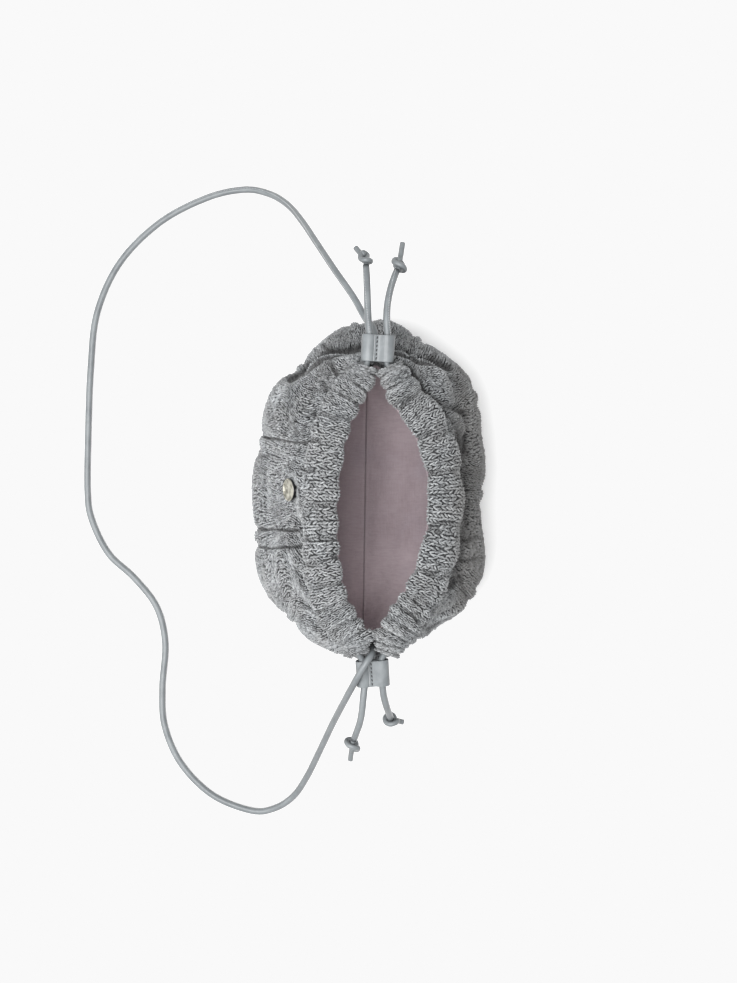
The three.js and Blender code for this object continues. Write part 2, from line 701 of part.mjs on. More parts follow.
for (const side of ['front', 'back']) {
  const points = [
    channelPoint('left', side, jointAlong - CLOTH_GAP),
    channelPoint('left', side, -jointAlong),
  ];
  for (let place = 0; place <= LAST_SECTION; place += 1) {
    const frame = casingFrame(side, place);
    points.push(casingPoint(frame, frame.channelAcross, 0));
  }
  points.push(channelPoint('right', side, -jointAlong), channelPoint('right', side, jointAlong - CLOTH_GAP));
  addPiece(`${side}_drawcord`, tube(points, CORD_DIAMETER, CORD_SIDES, DRAWCORD_STEPS), leather);
}

// Free cord ends with their knots. A knot is a lump with a short tail.

function knotGeometry(centre, direction, tailEnd) {
  const lump = new THREE.SphereGeometry(KNOT_WIDTH / 2, CORD_SIDES, LUMP_ROWS);
  lump.scale(1, KNOT_LENGTH / KNOT_WIDTH, 1);
  const tailLength = centre.distanceTo(tailEnd);
  const tail = new THREE.CylinderGeometry(CORD_DIAMETER / 2, CORD_DIAMETER / 2, tailLength, CORD_SIDES);
  tail.translate(0, tailLength / 2, 0);
  const whole = solidOf(placed(lump, centre, direction)).add(
    solidOf(placed(tail, centre, pointedAt(centre, tailEnd))));
  return geometryOf(whole);
}

for (const end of ['left', 'right']) {
  for (const side of ['front', 'back']) {
    const name = `${side}_${end}`;
    const route = STUB_ROUTES[name].map((point) => new THREE.Vector3(...point));
    const points = [
      channelPoint(end, side, jointAlong),
      channelPoint(end, side, SLIDER_LENGTH / 2),
      ...route,
    ];
    addPiece(`stub_${name}`, tube(points, CORD_DIAMETER, CORD_SIDES, STUB_STEPS), leather);
    const last = route[route.length - 1];
    const direction = pointedAt(route[route.length - 2], last);
    const centre = last.clone().addScaledVector(direction, KNOT_LENGTH / 2 + CLOTH_GAP);
    const tailEnd = new THREE.Vector3(...KNOT_TAILS[name]);
    addPiece(`knot_${name}`, knotGeometry(centre, direction, tailEnd), leather);
  }
}

// Strap, with a plain stop on each end inside the bag

const strapInside = clothThickness + STOP_DEPTH;
const strapEnd = (end, along) => eyelets[end].place.clone().addScaledVector(eyelets[end].axis, along);
const strapPoints = [
  strapEnd('left', -strapInside),
  strapEnd('left', EYELET_FLANGE),
  ...STRAP_ROUTE.map((point) => new THREE.Vector3(...point)),
  strapEnd('right', EYELET_FLANGE),
  strapEnd('right', -strapInside),
];
addPiece('strap', tube(strapPoints, CORD_DIAMETER, CORD_SIDES, STRAP_STEPS), leather);

for (const end of ['left', 'right']) {
  addPiece(`eyelet_${end}`, eyeletGeometry(eyelets[end]), darkMetal);
  const stop = new THREE.SphereGeometry(STOP_DIAMETER / 2, CORD_SIDES, LUMP_ROWS);
  const centre = strapEnd(end, -strapInside - CLOTH_GAP - STOP_DIAMETER / 2);
  addPiece(`strap_stop_${end}`, placed(stop, centre, eyelets[end].axis), leather);
}

// Medallion, flat-backed, seated on the highest knit under it

function medallionSeat() {
  const { around, up } = MEDALLION_PLACE;
  const place = outerWall(around, up);
  const axis = wallNormal(around, up);
  const radius = MEDALLION_DIAMETER / 2;
  const sideways = new THREE.Vector3().crossVectors(UP, axis).normalize();
  const upward = new THREE.Vector3().crossVectors(axis, sideways);
  // Rays from above the disc's middle and its edge find the knit under them
  const caster = new THREE.Raycaster();
  const wall = new THREE.Mesh(group.getObjectByName('knit_body').geometry);
  const starts = [place.clone()];
  for (let i = 0; i < MEDALLION_SIDES; i += 1) {
    const turn = 2 * Math.PI * i / MEDALLION_SIDES;
    starts.push(place.clone()
      .addScaledVector(sideways, radius * Math.cos(turn))
      .addScaledVector(upward, radius * Math.sin(turn)));
  }
  let highest = 0;
  for (const start of starts) {
    caster.set(start.addScaledVector(axis, radius), axis.clone().negate());
    const [hit] = caster.intersectObject(wall);
    highest = hit ? Math.max(highest, radius - hit.distance) : highest;
  }
  return { place: place.addScaledVector(axis, highest + METAL_GAP), axis };
}

function medallionGeometry() {
  const radius = MEDALLION_DIAMETER / 2;
  const edge = MEDALLION_EDGE * MEDALLION_THICKNESS;
  const profile = [
    [0, 0], [radius - edge, 0], [radius, edge],
    ...MEDALLION_FACE.map(({ rims, height }) => [
      radius - rims * MEDALLION_RIM, height * MEDALLION_THICKNESS]),
    [0, MEDALLION_MIDDLE * MEDALLION_THICKNESS],
  ].map(([reach, height]) => new THREE.Vector2(reach, height));
  const { place, axis } = medallionSeat();
  return placed(new THREE.LatheGeometry(profile, MEDALLION_SIDES), place, axis);
}

addPiece('medallion', medallionGeometry(), paleMetal);

export default group;
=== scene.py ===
"""A slouched cable-knit drawstring pouch, seen from straight above, with its leather strap laid beside it.

Metres, +Z up. The front faces -Y, left is the -X end and right is the +X end. The photograph's right is +Y
and its top is -X. The wall, casings and cords follow the same sizes and shares as the solids.
"""

import math

import bmesh
import bpy
import numpy as np
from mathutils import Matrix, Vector


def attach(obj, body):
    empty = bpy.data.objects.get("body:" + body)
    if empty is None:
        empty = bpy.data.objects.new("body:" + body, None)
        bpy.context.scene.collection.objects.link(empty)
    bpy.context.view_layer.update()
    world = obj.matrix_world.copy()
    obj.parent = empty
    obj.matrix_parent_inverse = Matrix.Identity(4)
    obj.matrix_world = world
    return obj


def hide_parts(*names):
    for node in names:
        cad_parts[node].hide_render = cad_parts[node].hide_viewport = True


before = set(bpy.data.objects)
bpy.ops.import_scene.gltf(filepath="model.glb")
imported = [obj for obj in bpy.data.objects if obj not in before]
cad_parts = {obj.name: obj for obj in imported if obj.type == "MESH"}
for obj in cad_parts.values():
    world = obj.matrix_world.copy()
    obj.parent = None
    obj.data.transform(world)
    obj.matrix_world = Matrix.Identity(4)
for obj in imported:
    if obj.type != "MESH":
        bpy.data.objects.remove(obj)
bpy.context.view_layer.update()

MM = 0.001

# Bag
BODY_LENGTH = 0.272
BODY_DEPTH = 0.183
MOUTH_HEIGHT = 0.165
KNIT_WALL = 0.004
LINING_WALL = 0.001
CLOTH_GAP = 0.0003
SEAM_GAP = 0.0006
LINING_INSET = KNIT_WALL + CLOTH_GAP

# Casings round the mouth
CASING_RUN = 0.223
CASING_SHIFT = 0.0145
CASING_WIDTH = 0.026
CASING_WALL = 0.003
CORD_DIAMETER = 0.0055
CASING_THICKNESS = CORD_DIAMETER + 2 * CASING_WALL + 0.0015
CHANNEL_HALF_THICKNESS = CASING_THICKNESS / 2 - CASING_WALL
FRONT_TUCK = 0.0015
BACK_TUCK = 0.009
LIP_CLEARANCE = 0.0008
LIP_STEP = 0.0005
NOTCH_LOWERED = 0.4
NOTCH_DROP = 0.0055

# Lining: how far up the wall it starts to sag, and its seam
LINING_FOOT = 2.3
SEAM_HEIGHT = 0.048
SEAM_HALF_LENGTH = 0.086
SEAM_MIDDLE = (0.012, -0.003)

# Sliders, eyelets and medallion
SLIDER_LENGTH = 0.021
SLIDER_SPREAD = 0.014
LEATHER = 0.0016
CHANNEL_HALF_HEIGHT = CORD_DIAMETER / 2 + 0.0003
CHANNEL_HALF_WIDTH = CHANNEL_HALF_HEIGHT + 0.0012
SLIDERS = {
    "left": {"direction": (-1, 0.06, -0.01), "gap": 0.14},
    "right": {"direction": (1, 0.06, -0.22), "gap": 0.21},
}
EYELETS = {"left": (0.985, 4.15), "right": (0.508, 4.5)}
EYELET_FLANGE_RADIUS = 0.0064
STRAP_INSIDE = LINING_INSET + LINING_WALL + 0.0025
STRAP_OUTSIDE = 0.0024
MEDALLION_PLACE = (0.2485, 3.84)
MEDALLION_RADIUS = 0.0095

# Heights of the wall's sections, as shares of the mouth height, and the reach of each section in shares of
# the half length and half depth: base, low, belly, waist, shoulder. A row for each twelfth of the way round.
LEVELS = np.array([0, 0.18, 0.43, 0.64, 0.775]) * MOUTH_HEIGHT
SPOKES = np.array([
    (0.82, 0.94, 1.0, 0.77, 0.78),
    (0.78, 0.91, 0.955, 0.85, 0.83),
    (0.76, 0.92, 0.99, 0.93, 0.8),
    (0.68, 0.85, 0.985, 0.76, 0.62),
    (0.78, 0.94, 1.035, 0.93, 0.77),
    (0.78, 0.9, 0.965, 0.955, 0.93),
    (0.8, 0.88, 0.94, 0.95, 0.95),
    (0.82, 0.92, 0.97, 0.9, 0.9),
    (0.92, 1.05, 1.075, 0.94, 0.83),
    (0.82, 0.95, 0.96, 0.75, 0.66),
    (0.9, 1.04, 1.06, 0.88, 0.83),
    (0.86, 0.97, 1.0, 0.85, 0.87),
])
NECK_LEVEL = len(LEVELS)

# Sections of the casings: along, front, back, width, rise, tilt in degrees, and how far the channel is closed
CASING_SECTIONS = np.array([
    (0, -0.04, 0.18, 0.6, 0.897, 8, 1),
    (0.04, -0.07, 0.225, 0.8, 0.912, 18, 0.6),
    (0.103, -0.18, 0.311, 0.92, 0.927, 28, 0.2),
    (0.193, -0.295, 0.486, 0.96, 0.94, 34, 0),
    (0.327, -0.372, 0.612, 0.96, 0.948, 35, 0),
    (0.489, -0.404, 0.645, 0.92, 0.951, 35, 0),
    (0.659, -0.393, 0.579, 0.96, 0.951, 35, 0),
    (0.794, -0.344, 0.448, 1, 0.945, 34, 0),
    (0.883, -0.24, 0.295, 0.98, 0.93, 28, 0.2),
    (0.946, -0.125, 0.2, 0.86, 0.9, 18, 0.6),
    (1, -0.1, 0.152, 0.62, 0.87, 8, 1),
])
LAST_SECTION = len(CASING_SECTIONS) - 1
NOTCHES = {"left": (0, -0.21, 0.35), "right": (0.5, -0.54, 0.365)}
NOTCH_HALF_WIDTH = 0.085

# Folds and cable bulges of the wall: around, up, spread, rise, and height as a share of the highest
FOLD_HEIGHT = 0.006
FOLD_FADE = 0.6
FOLDS = [
    (0.206, 3.9, 0.012, 1.1, -0.53),
    (0.284, 3.9, 0.012, 1.1, -0.53),
    (0.155, 3.2, 0.03, 0.9, 0.83),
    (0.335, 3.2, 0.034, 0.9, 1),
    (0.245, 3.1, 0.024, 1.2, 0.4),
    (0.085, 3.9, 0.02, 0.5, 0.67),
    (0.11, 2.7, 0.014, 0.6, -0.5),
    (0.03, 2.0, 0.02, 0.7, 0.15),
    (0.97, 2.1, 0.02, 0.7, 0.15),
    (0.0, 2.1, 0.01, 0.8, -0.5),
    (0.41, 3.4, 0.018, 0.8, 0.58),
    (0.45, 2.2, 0.014, 0.8, -0.42),
    (0.57, 3.0, 0.016, 0.7, 0.58),
    (0.61, 2.9, 0.012, 0.8, -0.5),
    (0.665, 2.0, 0.026, 0.8, 0.5),
    (0.72, 2.2, 0.014, 0.8, -0.5),
    (0.765, 2.0, 0.02, 0.8, 0.5),
    (0.805, 2.3, 0.012, 0.8, -0.5),
    (0.85, 2.1, 0.024, 0.8, 0.67),
    (0.885, 3.5, 0.022, 0.35, 0.75),
    (0.91, 3.0, 0.02, 0.3, -0.5),
]

# Cord ends past the sliders, the ends of their knots' tails, and the strap's route
STUB_ROUTES = {
    "front_left": [(-0.1324, -0.0002, 0.1476), (-0.148, -0.0008, 0.145), (-0.164, -0.0013, 0.1398),
                   (-0.1756, -0.002, 0.133)],
    "back_left": [(-0.1324, 0.014, 0.1476), (-0.144, 0.0146, 0.146), (-0.156, 0.0168, 0.142),
                  (-0.1665, 0.02, 0.1365), (-0.1716, 0.022, 0.1326)],
    "front_right": [(0.1619, -0.0042, 0.1366), (0.1713, -0.0051, 0.133), (0.1807, -0.0068, 0.1272),
                    (0.1899, -0.0098, 0.1192), (0.195, -0.0114, 0.114)],
    "back_right": [(0.1582, 0.0117, 0.135), (0.1667, 0.0137, 0.1268), (0.1742, 0.016, 0.1145),
                   (0.1786, 0.0173, 0.104)],
}
KNOT_TAILS = {
    "front_left": (-0.1908, -0.01, 0.1215),
    "back_left": (-0.1945, 0.0267, 0.1185),
    "front_right": (0.2125, -0.0143, 0.0975),
    "back_right": (0.1832, 0.0272, 0.092),
}
# Cords: faces round them, steps along them, stitches of their seam and its place round each cord end, where a
# quarter turn is on top, and where a cord end meets its drawcord in the slider
CORD_SIDES = 14
CORD_STEP = 0.0035
KNOT_DIAMETER = 0.0045
SEAM_STITCH = 0.0013
SEAM_PLACES = {"front_left": 1.3, "back_left": 0.5, "front_right": 3.6, "back_right": 2.9}
JOINT_ALONG = SLIDER_LENGTH / 2 - 0.002
# How long and how wide each knot is beside a plain one
KNOT_SHAPES = {"front_left": (1.35, 0.75), "back_left": (0.95, 1.0), "front_right": (0.9, 1.0),
               "back_right": (1.15, 0.9)}
STRAP_ROUTE = [
    (-0.1172, 0.0057, 0.133), (-0.1265, 0.0036, 0.1336), (-0.137, -0.0035, 0.1295),
    (-0.153, -0.0122, 0.12), (-0.176, -0.0272, 0.1), (-0.199, -0.0413, 0.074), (-0.2205, -0.0545, 0.047),
    (-0.236, -0.0665, 0.024), (-0.2466, -0.082, 0.0095), (-0.251, -0.103, 0.004),
    (-0.2445, -0.134, 0.0029), (-0.2241, -0.1733, 0.0029), (-0.1908, -0.2067, 0.0029),
    (-0.1488, -0.2259, 0.0029), (-0.1013, -0.2313, 0.0029), (-0.0488, -0.2333, 0.0029),
    (0.0004, -0.2338, 0.0029), (0.0238, -0.2302, 0.0029), (0.0518, -0.2163, 0.0029),
    (0.0721, -0.1948, 0.0029), (0.0963, -0.1763, 0.0029), (0.1263, -0.1692, 0.0029),
    (0.1634, -0.1716, 0.0029), (0.195, -0.1697, 0.0029), (0.2267, -0.1558, 0.0029),
    (0.2527, -0.1297, 0.0029), (0.2655, -0.097, 0.0039), (0.263, -0.078, 0.007), (0.2523, -0.0625, 0.015),
    (0.2342, -0.0508, 0.033), (0.209, -0.0392, 0.061), (0.1832, -0.0279, 0.093), (0.16, -0.0169, 0.129),
    (0.151, -0.0124, 0.1407), (0.144, -0.0088, 0.1477), (0.1365, -0.0046, 0.1514),
    (0.1302, -0.0008, 0.1517), (0.1262, 0.0022, 0.1482), (0.1236, 0.0034, 0.1426),
]

# Knit: wales and courses of the wall and casings, the thickness of a stitch, and the cable panels
PANELS = 11
WALES = 19 * PANELS
COURSES = 66
CASING_WALES = 74
CASING_COURSES = 15
STITCH_HALF_THICKNESS = 0.0011
STITCH_LIFT = 0.0001
SHELL_SINK = 0.0006
# The lines press the knit no deeper than this, and the shell under it by a share more
DEEPEST_PRESS = 0.0034
SHELL_LAG = 0.15
PANEL_START = 0.2465
RIB_EDGE = 0.41
CABLE_SWEEP = 0.12
CABLE_PERIOD = 1.5
# Up the wall, a cable's strands cross at this place and every half period from it
CABLE_START = 4.15
CABLE_PILLOW = 0.0016
CABLE_CREASE = 0.0016
CABLE_STRAND = 0.0007
CABLE_CROSSING = 0.0012
RIB_RISE = 0.0008
# Half width and half length of a stitch's leg, as shares of the stitch, and how much painted shade a pleat puts on
# its yarn
WALL_LEG = (0.165, 0.64)
CASING_LEG = (0.165, 0.74)
WALL_PLEAT_SHADE = 1.6
CASING_PLEAT_SHADE = 2.4
# How much stitches differ: lift, and place across, place along and lean as shares of a stitch
LOOSE_LIFT = 0.00018
LOOSE_ACROSS = 0.08
LOOSE_ALONG = 0.11
LOOSE_LEAN = 0.13

# Camera: straight above, with the long side of the picture as the sensor's width
PICTURE_LONG_SIDE = 983
CAMERA_HEIGHT = 2.0
FOCAL_PIXELS = 2400
SENSOR_WIDTH = 36
PICTURE_CENTRE = (368.5, 491.5)
PICTURE_WHITE = 0.947


# Smooth tables

def cubic(before, start, end, after, share):
    bend = 2 * before - 5 * start + 4 * end - after
    twist = 3 * (start - end) + after - before
    return start + 0.5 * share * (end - before + share * (bend + share * twist))


def held(values, place):
    """A smooth value at each place along a table, whose ends repeat"""
    k = np.clip(np.floor(place).astype(int), 0, len(values) - 2)
    at = lambda i: values[np.clip(k + i, 0, len(values) - 1)]
    return cubic(at(-1), at(0), at(1), at(2), place - k)


def drawn_on(points):
    """Points with one more at each end, in line with the last two"""
    points = np.asarray(points, float)
    return np.concatenate([[2 * points[0] - points[1]], points, [2 * points[-1] - points[-2]]])


def through(points, place):
    """Smooth points at each place along a list of points"""
    k = np.clip(np.floor(place).astype(int), 0, len(points) - 2)
    more = drawn_on(points)
    share = (place - k)[..., None]
    return cubic(more[k], more[k + 1], more[k + 2], more[k + 3], share)


def unit(vectors):
    return vectors / np.linalg.norm(vectors, axis=-1, keepdims=True)


def smooth_step(share):
    inside = np.clip(share, 0, 1)
    return inside * inside * (3 - 2 * inside)


def hump(apart, spread):
    return np.exp(-0.5 * (apart / spread) ** 2)


def run_lengths(points, axis=0):
    """Length along a line of points up to each of them"""
    steps = np.linalg.norm(np.diff(points, axis=axis), axis=-1)
    start = np.zeros_like(np.take(steps, [0], axis))
    return np.concatenate([start, np.cumsum(steps, axis)], axis)


def at_lengths(at, lengths, rows):
    """Vectors of a line's points, at other lengths along it"""
    return np.stack([np.interp(at, lengths, rows[:, i]) for i in range(3)], 1)


def carried_side(ways):
    """A way square to each way of a line, carried along it without a twist"""
    side = unit(np.cross(ways[0], (0, 0, 1)))
    sides = []
    for way in ways:
        side = unit(side - way * np.dot(side, way))
        sides.append(side)
    return np.array(sides)


# Casings

CASING_CENTRES = {
    side: np.stack([
        CASING_SHIFT + CASING_RUN * (CASING_SECTIONS[:, 0] - 0.5),
        CASING_SECTIONS[:, column] * BODY_DEPTH / 2,
        CASING_SECTIONS[:, 4] * MOUTH_HEIGHT,
    ], 1)
    for side, column in (("front", 1), ("back", 2))
}


def casing_frame(side, place):
    """The casing's centre, its outward way, its tilt and its half width at each place along it"""
    step = 0.02
    centre = through(CASING_CENTRES[side], place)
    ahead = through(CASING_CENTRES[side], np.minimum(place + step, LAST_SECTION))
    behind = through(CASING_CENTRES[side], np.maximum(place - step, 0))
    outward = unit(np.cross(unit(ahead - behind), (0, 0, 1)))
    if side == "back":
        outward = -outward
    tilt = np.radians(held(CASING_SECTIONS[:, 5], place))
    half_width = CASING_WIDTH * held(CASING_SECTIONS[:, 3], place) / 2 / np.cos(tilt)
    return centre, outward, tilt, half_width


def channel(side, place):
    """How far the middle of the casing's channel lies off the casing's own, and the channel's half width"""
    open_half = casing_frame(side, place)[3] - CASING_WALL
    closed = held(CASING_SECTIONS[:, 6], place)
    wide = open_half + closed * (CHANNEL_HALF_THICKNESS - open_half)
    return -closed * (open_half - wide), wide


def casing_point(centre, outward, tilt, across, through_it):
    """A point across a casing from its centre, outwards, and through it, upwards"""
    out = across * np.cos(tilt) + through_it * np.sin(tilt)
    up = through_it * np.cos(tilt) - across * np.sin(tilt)
    return centre + outward * out[..., None] + np.array((0, 0, 1)) * up[..., None]


def under_casing(side, place, reach, clearance, tuck=None):
    """A point just under a casing, at a share of its half width or tucked in from its outer edge"""
    centre, outward, tilt, half_width = casing_frame(side, place)
    across = reach * half_width if tuck is None else np.maximum(half_width - tuck, 0)
    share = np.minimum(np.abs(across / half_width), 1)
    down = -CASING_THICKNESS / 2 * np.sqrt(1 - share * share) - clearance
    return casing_point(centre, outward, tilt, across, down)


def both_sides(around, make):
    """Points that one rule makes for the front half of the way round and another for the back half"""
    around = np.asarray(around, float) % 1
    front = make("front", LAST_SECTION * np.minimum(2 * around, 1))
    back = make("back", LAST_SECTION * np.clip(2 - 2 * around, 0, 1))
    return np.where((around <= 0.5)[..., None], front, back)


def casings_end(end):
    k = 0 if end == "left" else LAST_SECTION
    return (CASING_CENTRES["front"][k] + CASING_CENTRES["back"][k]) / 2


def through_notch(around, points, inset, lift):
    """Blends a ring that follows the casings into the notches between their ends"""
    around = np.asarray(around, float) % 1
    for end, (place, reach, drop) in NOTCHES.items():
        apart = np.minimum(np.abs(around - place), 1 - np.abs(around - place))
        share = 1 - smooth_step(apart / NOTCH_HALF_WIDTH)
        notch = casings_end(end) + CASING_WIDTH * np.array((reach, 0, -drop))
        notch = notch + np.array((inset if end == "left" else -inset, 0, lift))
        points = points + (notch - points) * share[..., None]
    return points


def in_notch(around):
    """1 in the middle of a notch and 0 past its sides"""
    share = np.zeros(np.shape(around))
    for place, _, _ in NOTCHES.values():
        apart = np.abs(np.asarray(around, float) % 1 - place)
        share = np.maximum(share, 1 - smooth_step(np.minimum(apart, 1 - apart) / NOTCH_HALF_WIDTH))
    return share


def neck(around):
    """The wall's rim, just under the casings and down in the notches"""
    tucks = {"front": FRONT_TUCK, "back": BACK_TUCK}
    rim = both_sides(around, lambda side, place: under_casing(side, place, 0, SEAM_GAP, tucks[side]))
    return through_notch(around, rim, 0, 0)


# Wall

def smooth_wall(around, up):
    """The wall without folds or knit: a share of the way round from the left end by the front, and a level up"""
    around, up = np.broadcast_arrays(np.asarray(around, float) % 1, np.asarray(up, float))
    place = around * len(SPOKES)
    k = np.floor(place).astype(int)
    spoke = lambda i: SPOKES[(k + i) % len(SPOKES)]
    reach = cubic(spoke(-1), spoke(0), spoke(1), spoke(2), (place - k)[..., None]) / 2
    turn = math.pi * (1 + 2 * around)[..., None]
    heights = np.broadcast_to(LEVELS, reach.shape)
    sections = np.stack([BODY_LENGTH * reach * np.cos(turn), BODY_DEPTH * reach * np.sin(turn), heights], -1)
    controls = np.concatenate([sections, neck(around)[..., None, :]], -2)
    first = 2 * controls[..., :1, :] - controls[..., 1:2, :]
    last = 2 * controls[..., -1:, :] - controls[..., -2:-1, :]
    controls = np.concatenate([first, controls, last], -2)
    level = np.clip(np.floor(up).astype(int), 0, NECK_LEVEL - 1)
    pick = lambda i: np.take_along_axis(controls, (level + i)[..., None, None], -2)[..., 0, :]
    return cubic(pick(0), pick(1), pick(2), pick(3), (up - level)[..., None])


def wall_normal(around, up, surface=smooth_wall, step=0.01):
    ahead = surface(around + step, up) - surface(around - step, up)
    above = surface(around, np.minimum(up + step, NECK_LEVEL)) - surface(around, np.maximum(up - step, 0))
    return unit(np.cross(ahead, above))


def fold_height(around, up):
    height = np.zeros(np.broadcast(around, up).shape)
    for place, level, spread, rise, share in FOLDS:
        apart = np.abs(np.asarray(around) % 1 - place)
        apart = np.minimum(apart, 1 - apart)
        height = height + FOLD_HEIGHT * share * hump(apart, spread) * hump(up - level, rise)
    return height * smooth_step(up / FOLD_FADE) * smooth_step((NECK_LEVEL - up) / FOLD_FADE)


def panel_place(around):
    """How far each place is from the middle of its cable panel, from -0.5 to 0.5"""
    return (np.asarray(around) - PANEL_START) * PANELS - np.round((np.asarray(around) - PANEL_START) * PANELS)


def cable_turn(up):
    """How far the two strands of a cable have wound round each other"""
    return 2 * math.pi * (up - CABLE_START) / CABLE_PERIOD


def cable_height(around, up):
    """Relief of the cables and of the ribs between them, fading out at the base"""
    place = panel_place(around)
    inside = np.clip(1 - (place / RIB_EDGE) ** 2, 0, 1)
    pillow = CABLE_PILLOW * inside ** 0.7
    crease = CABLE_CREASE * hump(np.abs(place) - RIB_EDGE, 0.035)
    rib = RIB_RISE * hump(np.abs(place) - 0.5, 0.05)
    turn = cable_turn(np.asarray(up))
    strand = CABLE_STRAND * np.sin(turn) * np.clip(place / RIB_EDGE, -1, 1) * inside
    crossing = CABLE_CROSSING * inside * np.clip(np.abs(np.cos(turn)) ** 12, 0, 1)
    fade = smooth_step(np.asarray(up) / 0.8)
    return (pillow - crease + rib + strand - crossing) * fade


# Lines that the picture shows on the knit, by its pixels: height in metres, spread in pixels and route
WALL_LINES = [
    (-0.005, 2.8, [(290, 378), (303, 371), (313, 363), (322, 356), (333, 352), (345, 350), (362, 347)]),
    (0.0008, 2.4, [(280, 389), (290, 383), (300, 378), (311, 371), (320, 363), (331, 360), (345, 356), (362, 353)]),
    (-0.0025, 2.0, [(331, 361), (333, 368), (337, 374)]),
    (-0.0032, 1.2, [(256, 434), (266, 438), (280, 441), (295, 444), (311, 443)]),
    (-0.0032, 1.2, [(249, 528), (262, 529), (280, 529), (296, 530), (305, 526)]),
    (0.0007, 2.4, [(271, 452), (271, 480), (270, 510), (270, 525)]),
    (0.0006, 2.6, [(301, 474), (302, 500), (301, 520), (305, 540), (307, 565), (310, 600), (318, 630)]),
    (-0.002, 1.4, [(252, 455), (262, 456), (272, 455)]),
    (-0.003, 1.2, [(256, 546), (270, 548), (290, 547), (304, 545)]),
    (-0.0016, 1.0, [(306, 524), (318, 527), (332, 529)]),
    (-0.0014, 1.8, [(282, 404), (288, 420), (297, 434)]),
    (-0.0016, 1.8, [(269, 403), (272, 418), (275, 434)]),
    (-0.002, 2.0, [(313, 412), (320, 424), (330, 434)]),
    (-0.0012, 1.8, [(298, 391), (312, 389), (326, 391)]),
    (-0.0012, 1.8, [(312, 373), (320, 379), (330, 394)]),
    (-0.0008, 2.4, [(296, 570), (303, 583), (299, 602)]),
    (0.0012, 2.2, [(396, 356), (404, 359), (413, 361), (421, 367), (432, 365), (440, 368), (447, 373), (458, 375),
                  (467, 384), (470, 398), (470, 415), (468, 430)]),
    (-0.005, 2.8, [(393, 350), (408, 354), (418, 360), (427, 361), (438, 362), (449, 367)]),
    (-0.0034, 2.8, [(402, 364), (411, 371), (418, 382), (424, 392), (434, 400), (450, 407), (462, 412)]),
    (0.0012, 2.0, [(432, 404), (446, 405), (457, 412), (463, 426), (463, 446)]),
    (-0.0024, 2.0, [(440, 410), (452, 418), (459, 432), (461, 450)]),
    (-0.002, 1.8, [(466, 412), (467, 430), (465, 450)]),
    (-0.0034, 2.6, [(455, 583), (446, 593), (436, 606), (429, 613), (426, 624)]),
    (0.0014, 2.2, [(442, 617), (453, 613), (465, 606)]),
    (-0.0022, 2.0, [(430, 630), (441, 624), (456, 618)]),
    (-0.002, 2.0, [(457, 538), (468, 540), (478, 536)]),
    (-0.002, 2.0, [(455, 559), (466, 561), (478, 558)]),
    (-0.002, 2.0, [(462, 577), (464, 590), (470, 600)]),
    (-0.0022, 2.2, [(303, 360), (309, 363), (316, 362)]),
    (-0.0024, 2.2, [(320, 342), (327, 347), (332, 352)]),
    (-0.0018, 2.2, [(376, 319), (377, 328), (379, 335)]),
    (-0.0022, 2.2, [(440, 349), (434, 355), (428, 360)]),
    (-0.0022, 4.2, [(463, 440), (464, 480), (466, 525), (463, 545), (458, 565), (456, 582)]),
]
CASING_SLITS = [
    (-0.002, 1.0, [(414, 600), (424, 610)]),
    (-0.002, 1.0, [(406, 613), (413, 616), (419, 624)]),
    (-0.0012, 1.2, [(439, 549), (449, 552)]),
    (-0.001, 1.2, [(408, 587), (422, 590)]),
    (-0.0012, 1.3, [(429, 555), (442, 565)]),
    (-0.0014, 1.3, [(431, 525), (442, 522), (454, 522)]),
    (-0.0014, 1.2, [(391, 406), (409, 399)]),
    (-0.0012, 1.2, [(436, 463), (456, 461)]),
    (-0.001, 1.2, [(426, 449), (440, 441)]),
    (0.0006, 1.1, [(393, 360), (402, 364), (409, 371), (414, 380), (418, 390), (425, 400), (432, 407), (441, 414),
                   (450, 425), (456, 437), (458, 455), (459, 480), (461, 505), (461, 530), (457, 540), (455, 558),
                   (452, 572), (447, 584), (438, 594), (430, 606), (427, 616), (416, 628), (412, 640), (404, 651)]),
]


def picture_place(points):
    """Pixels at which the camera sees points"""
    scale = FOCAL_PIXELS / (CAMERA_HEIGHT - points[..., 2])
    return np.stack([PICTURE_CENTRE[0] + points[..., 1] * scale, PICTURE_CENTRE[1] + points[..., 0] * scale], -1)


def line_height(points, lines):
    """Relief of creases and crests that run along lines of the picture"""
    seen = picture_place(points)
    height = np.zeros(seen.shape[:-1])
    for deep, spread, route in lines:
        apart = np.full(height.shape, 1e9)
        for start, end in zip(np.array(route[:-1], float), np.array(route[1:], float)):
            way = end - start
            share = np.clip(((seen - start) @ way) / (way @ way), 0, 1)
            apart = np.minimum(apart, np.linalg.norm(seen - start - share[..., None] * way, axis=-1))
        height = height + deep * hump(apart, spread)
    return height


def towards_camera(outward):
    """1 on knit that faces up, less on a steep wall and 0 under an overhang"""
    return np.clip(outward[..., 2] * 3 + 0.6, 0, 1)


def line_share(points):
    """The picture's lines lie on the wall's upper half"""
    return smooth_step((points[..., 2] - 0.06) / 0.02)


# Shares along each casing at which its pleats lie
PLEATS = {
    "front": [0.05, 0.138, 0.21, 0.29, 0.355, 0.43, 0.49, 0.56, 0.61, 0.67, 0.74, 0.82, 0.88, 0.95],
    "back": [0.05, 0.138, 0.224, 0.337, 0.43, 0.543, 0.639, 0.715, 0.767, 0.815, 0.87, 0.93, 0.97],
}
PLEAT_DEPTH = {"front": 0.0019, "back": 0.0021}
# Where both casings swell until they meet: share along them, spread and bulge
MEETINGS = [(0.04, 0.015, 0.0029), (0.915, 0.019, 0.0038)]
PUFF_RISE = 0.0019
NECK_PLEAT = 0.0022


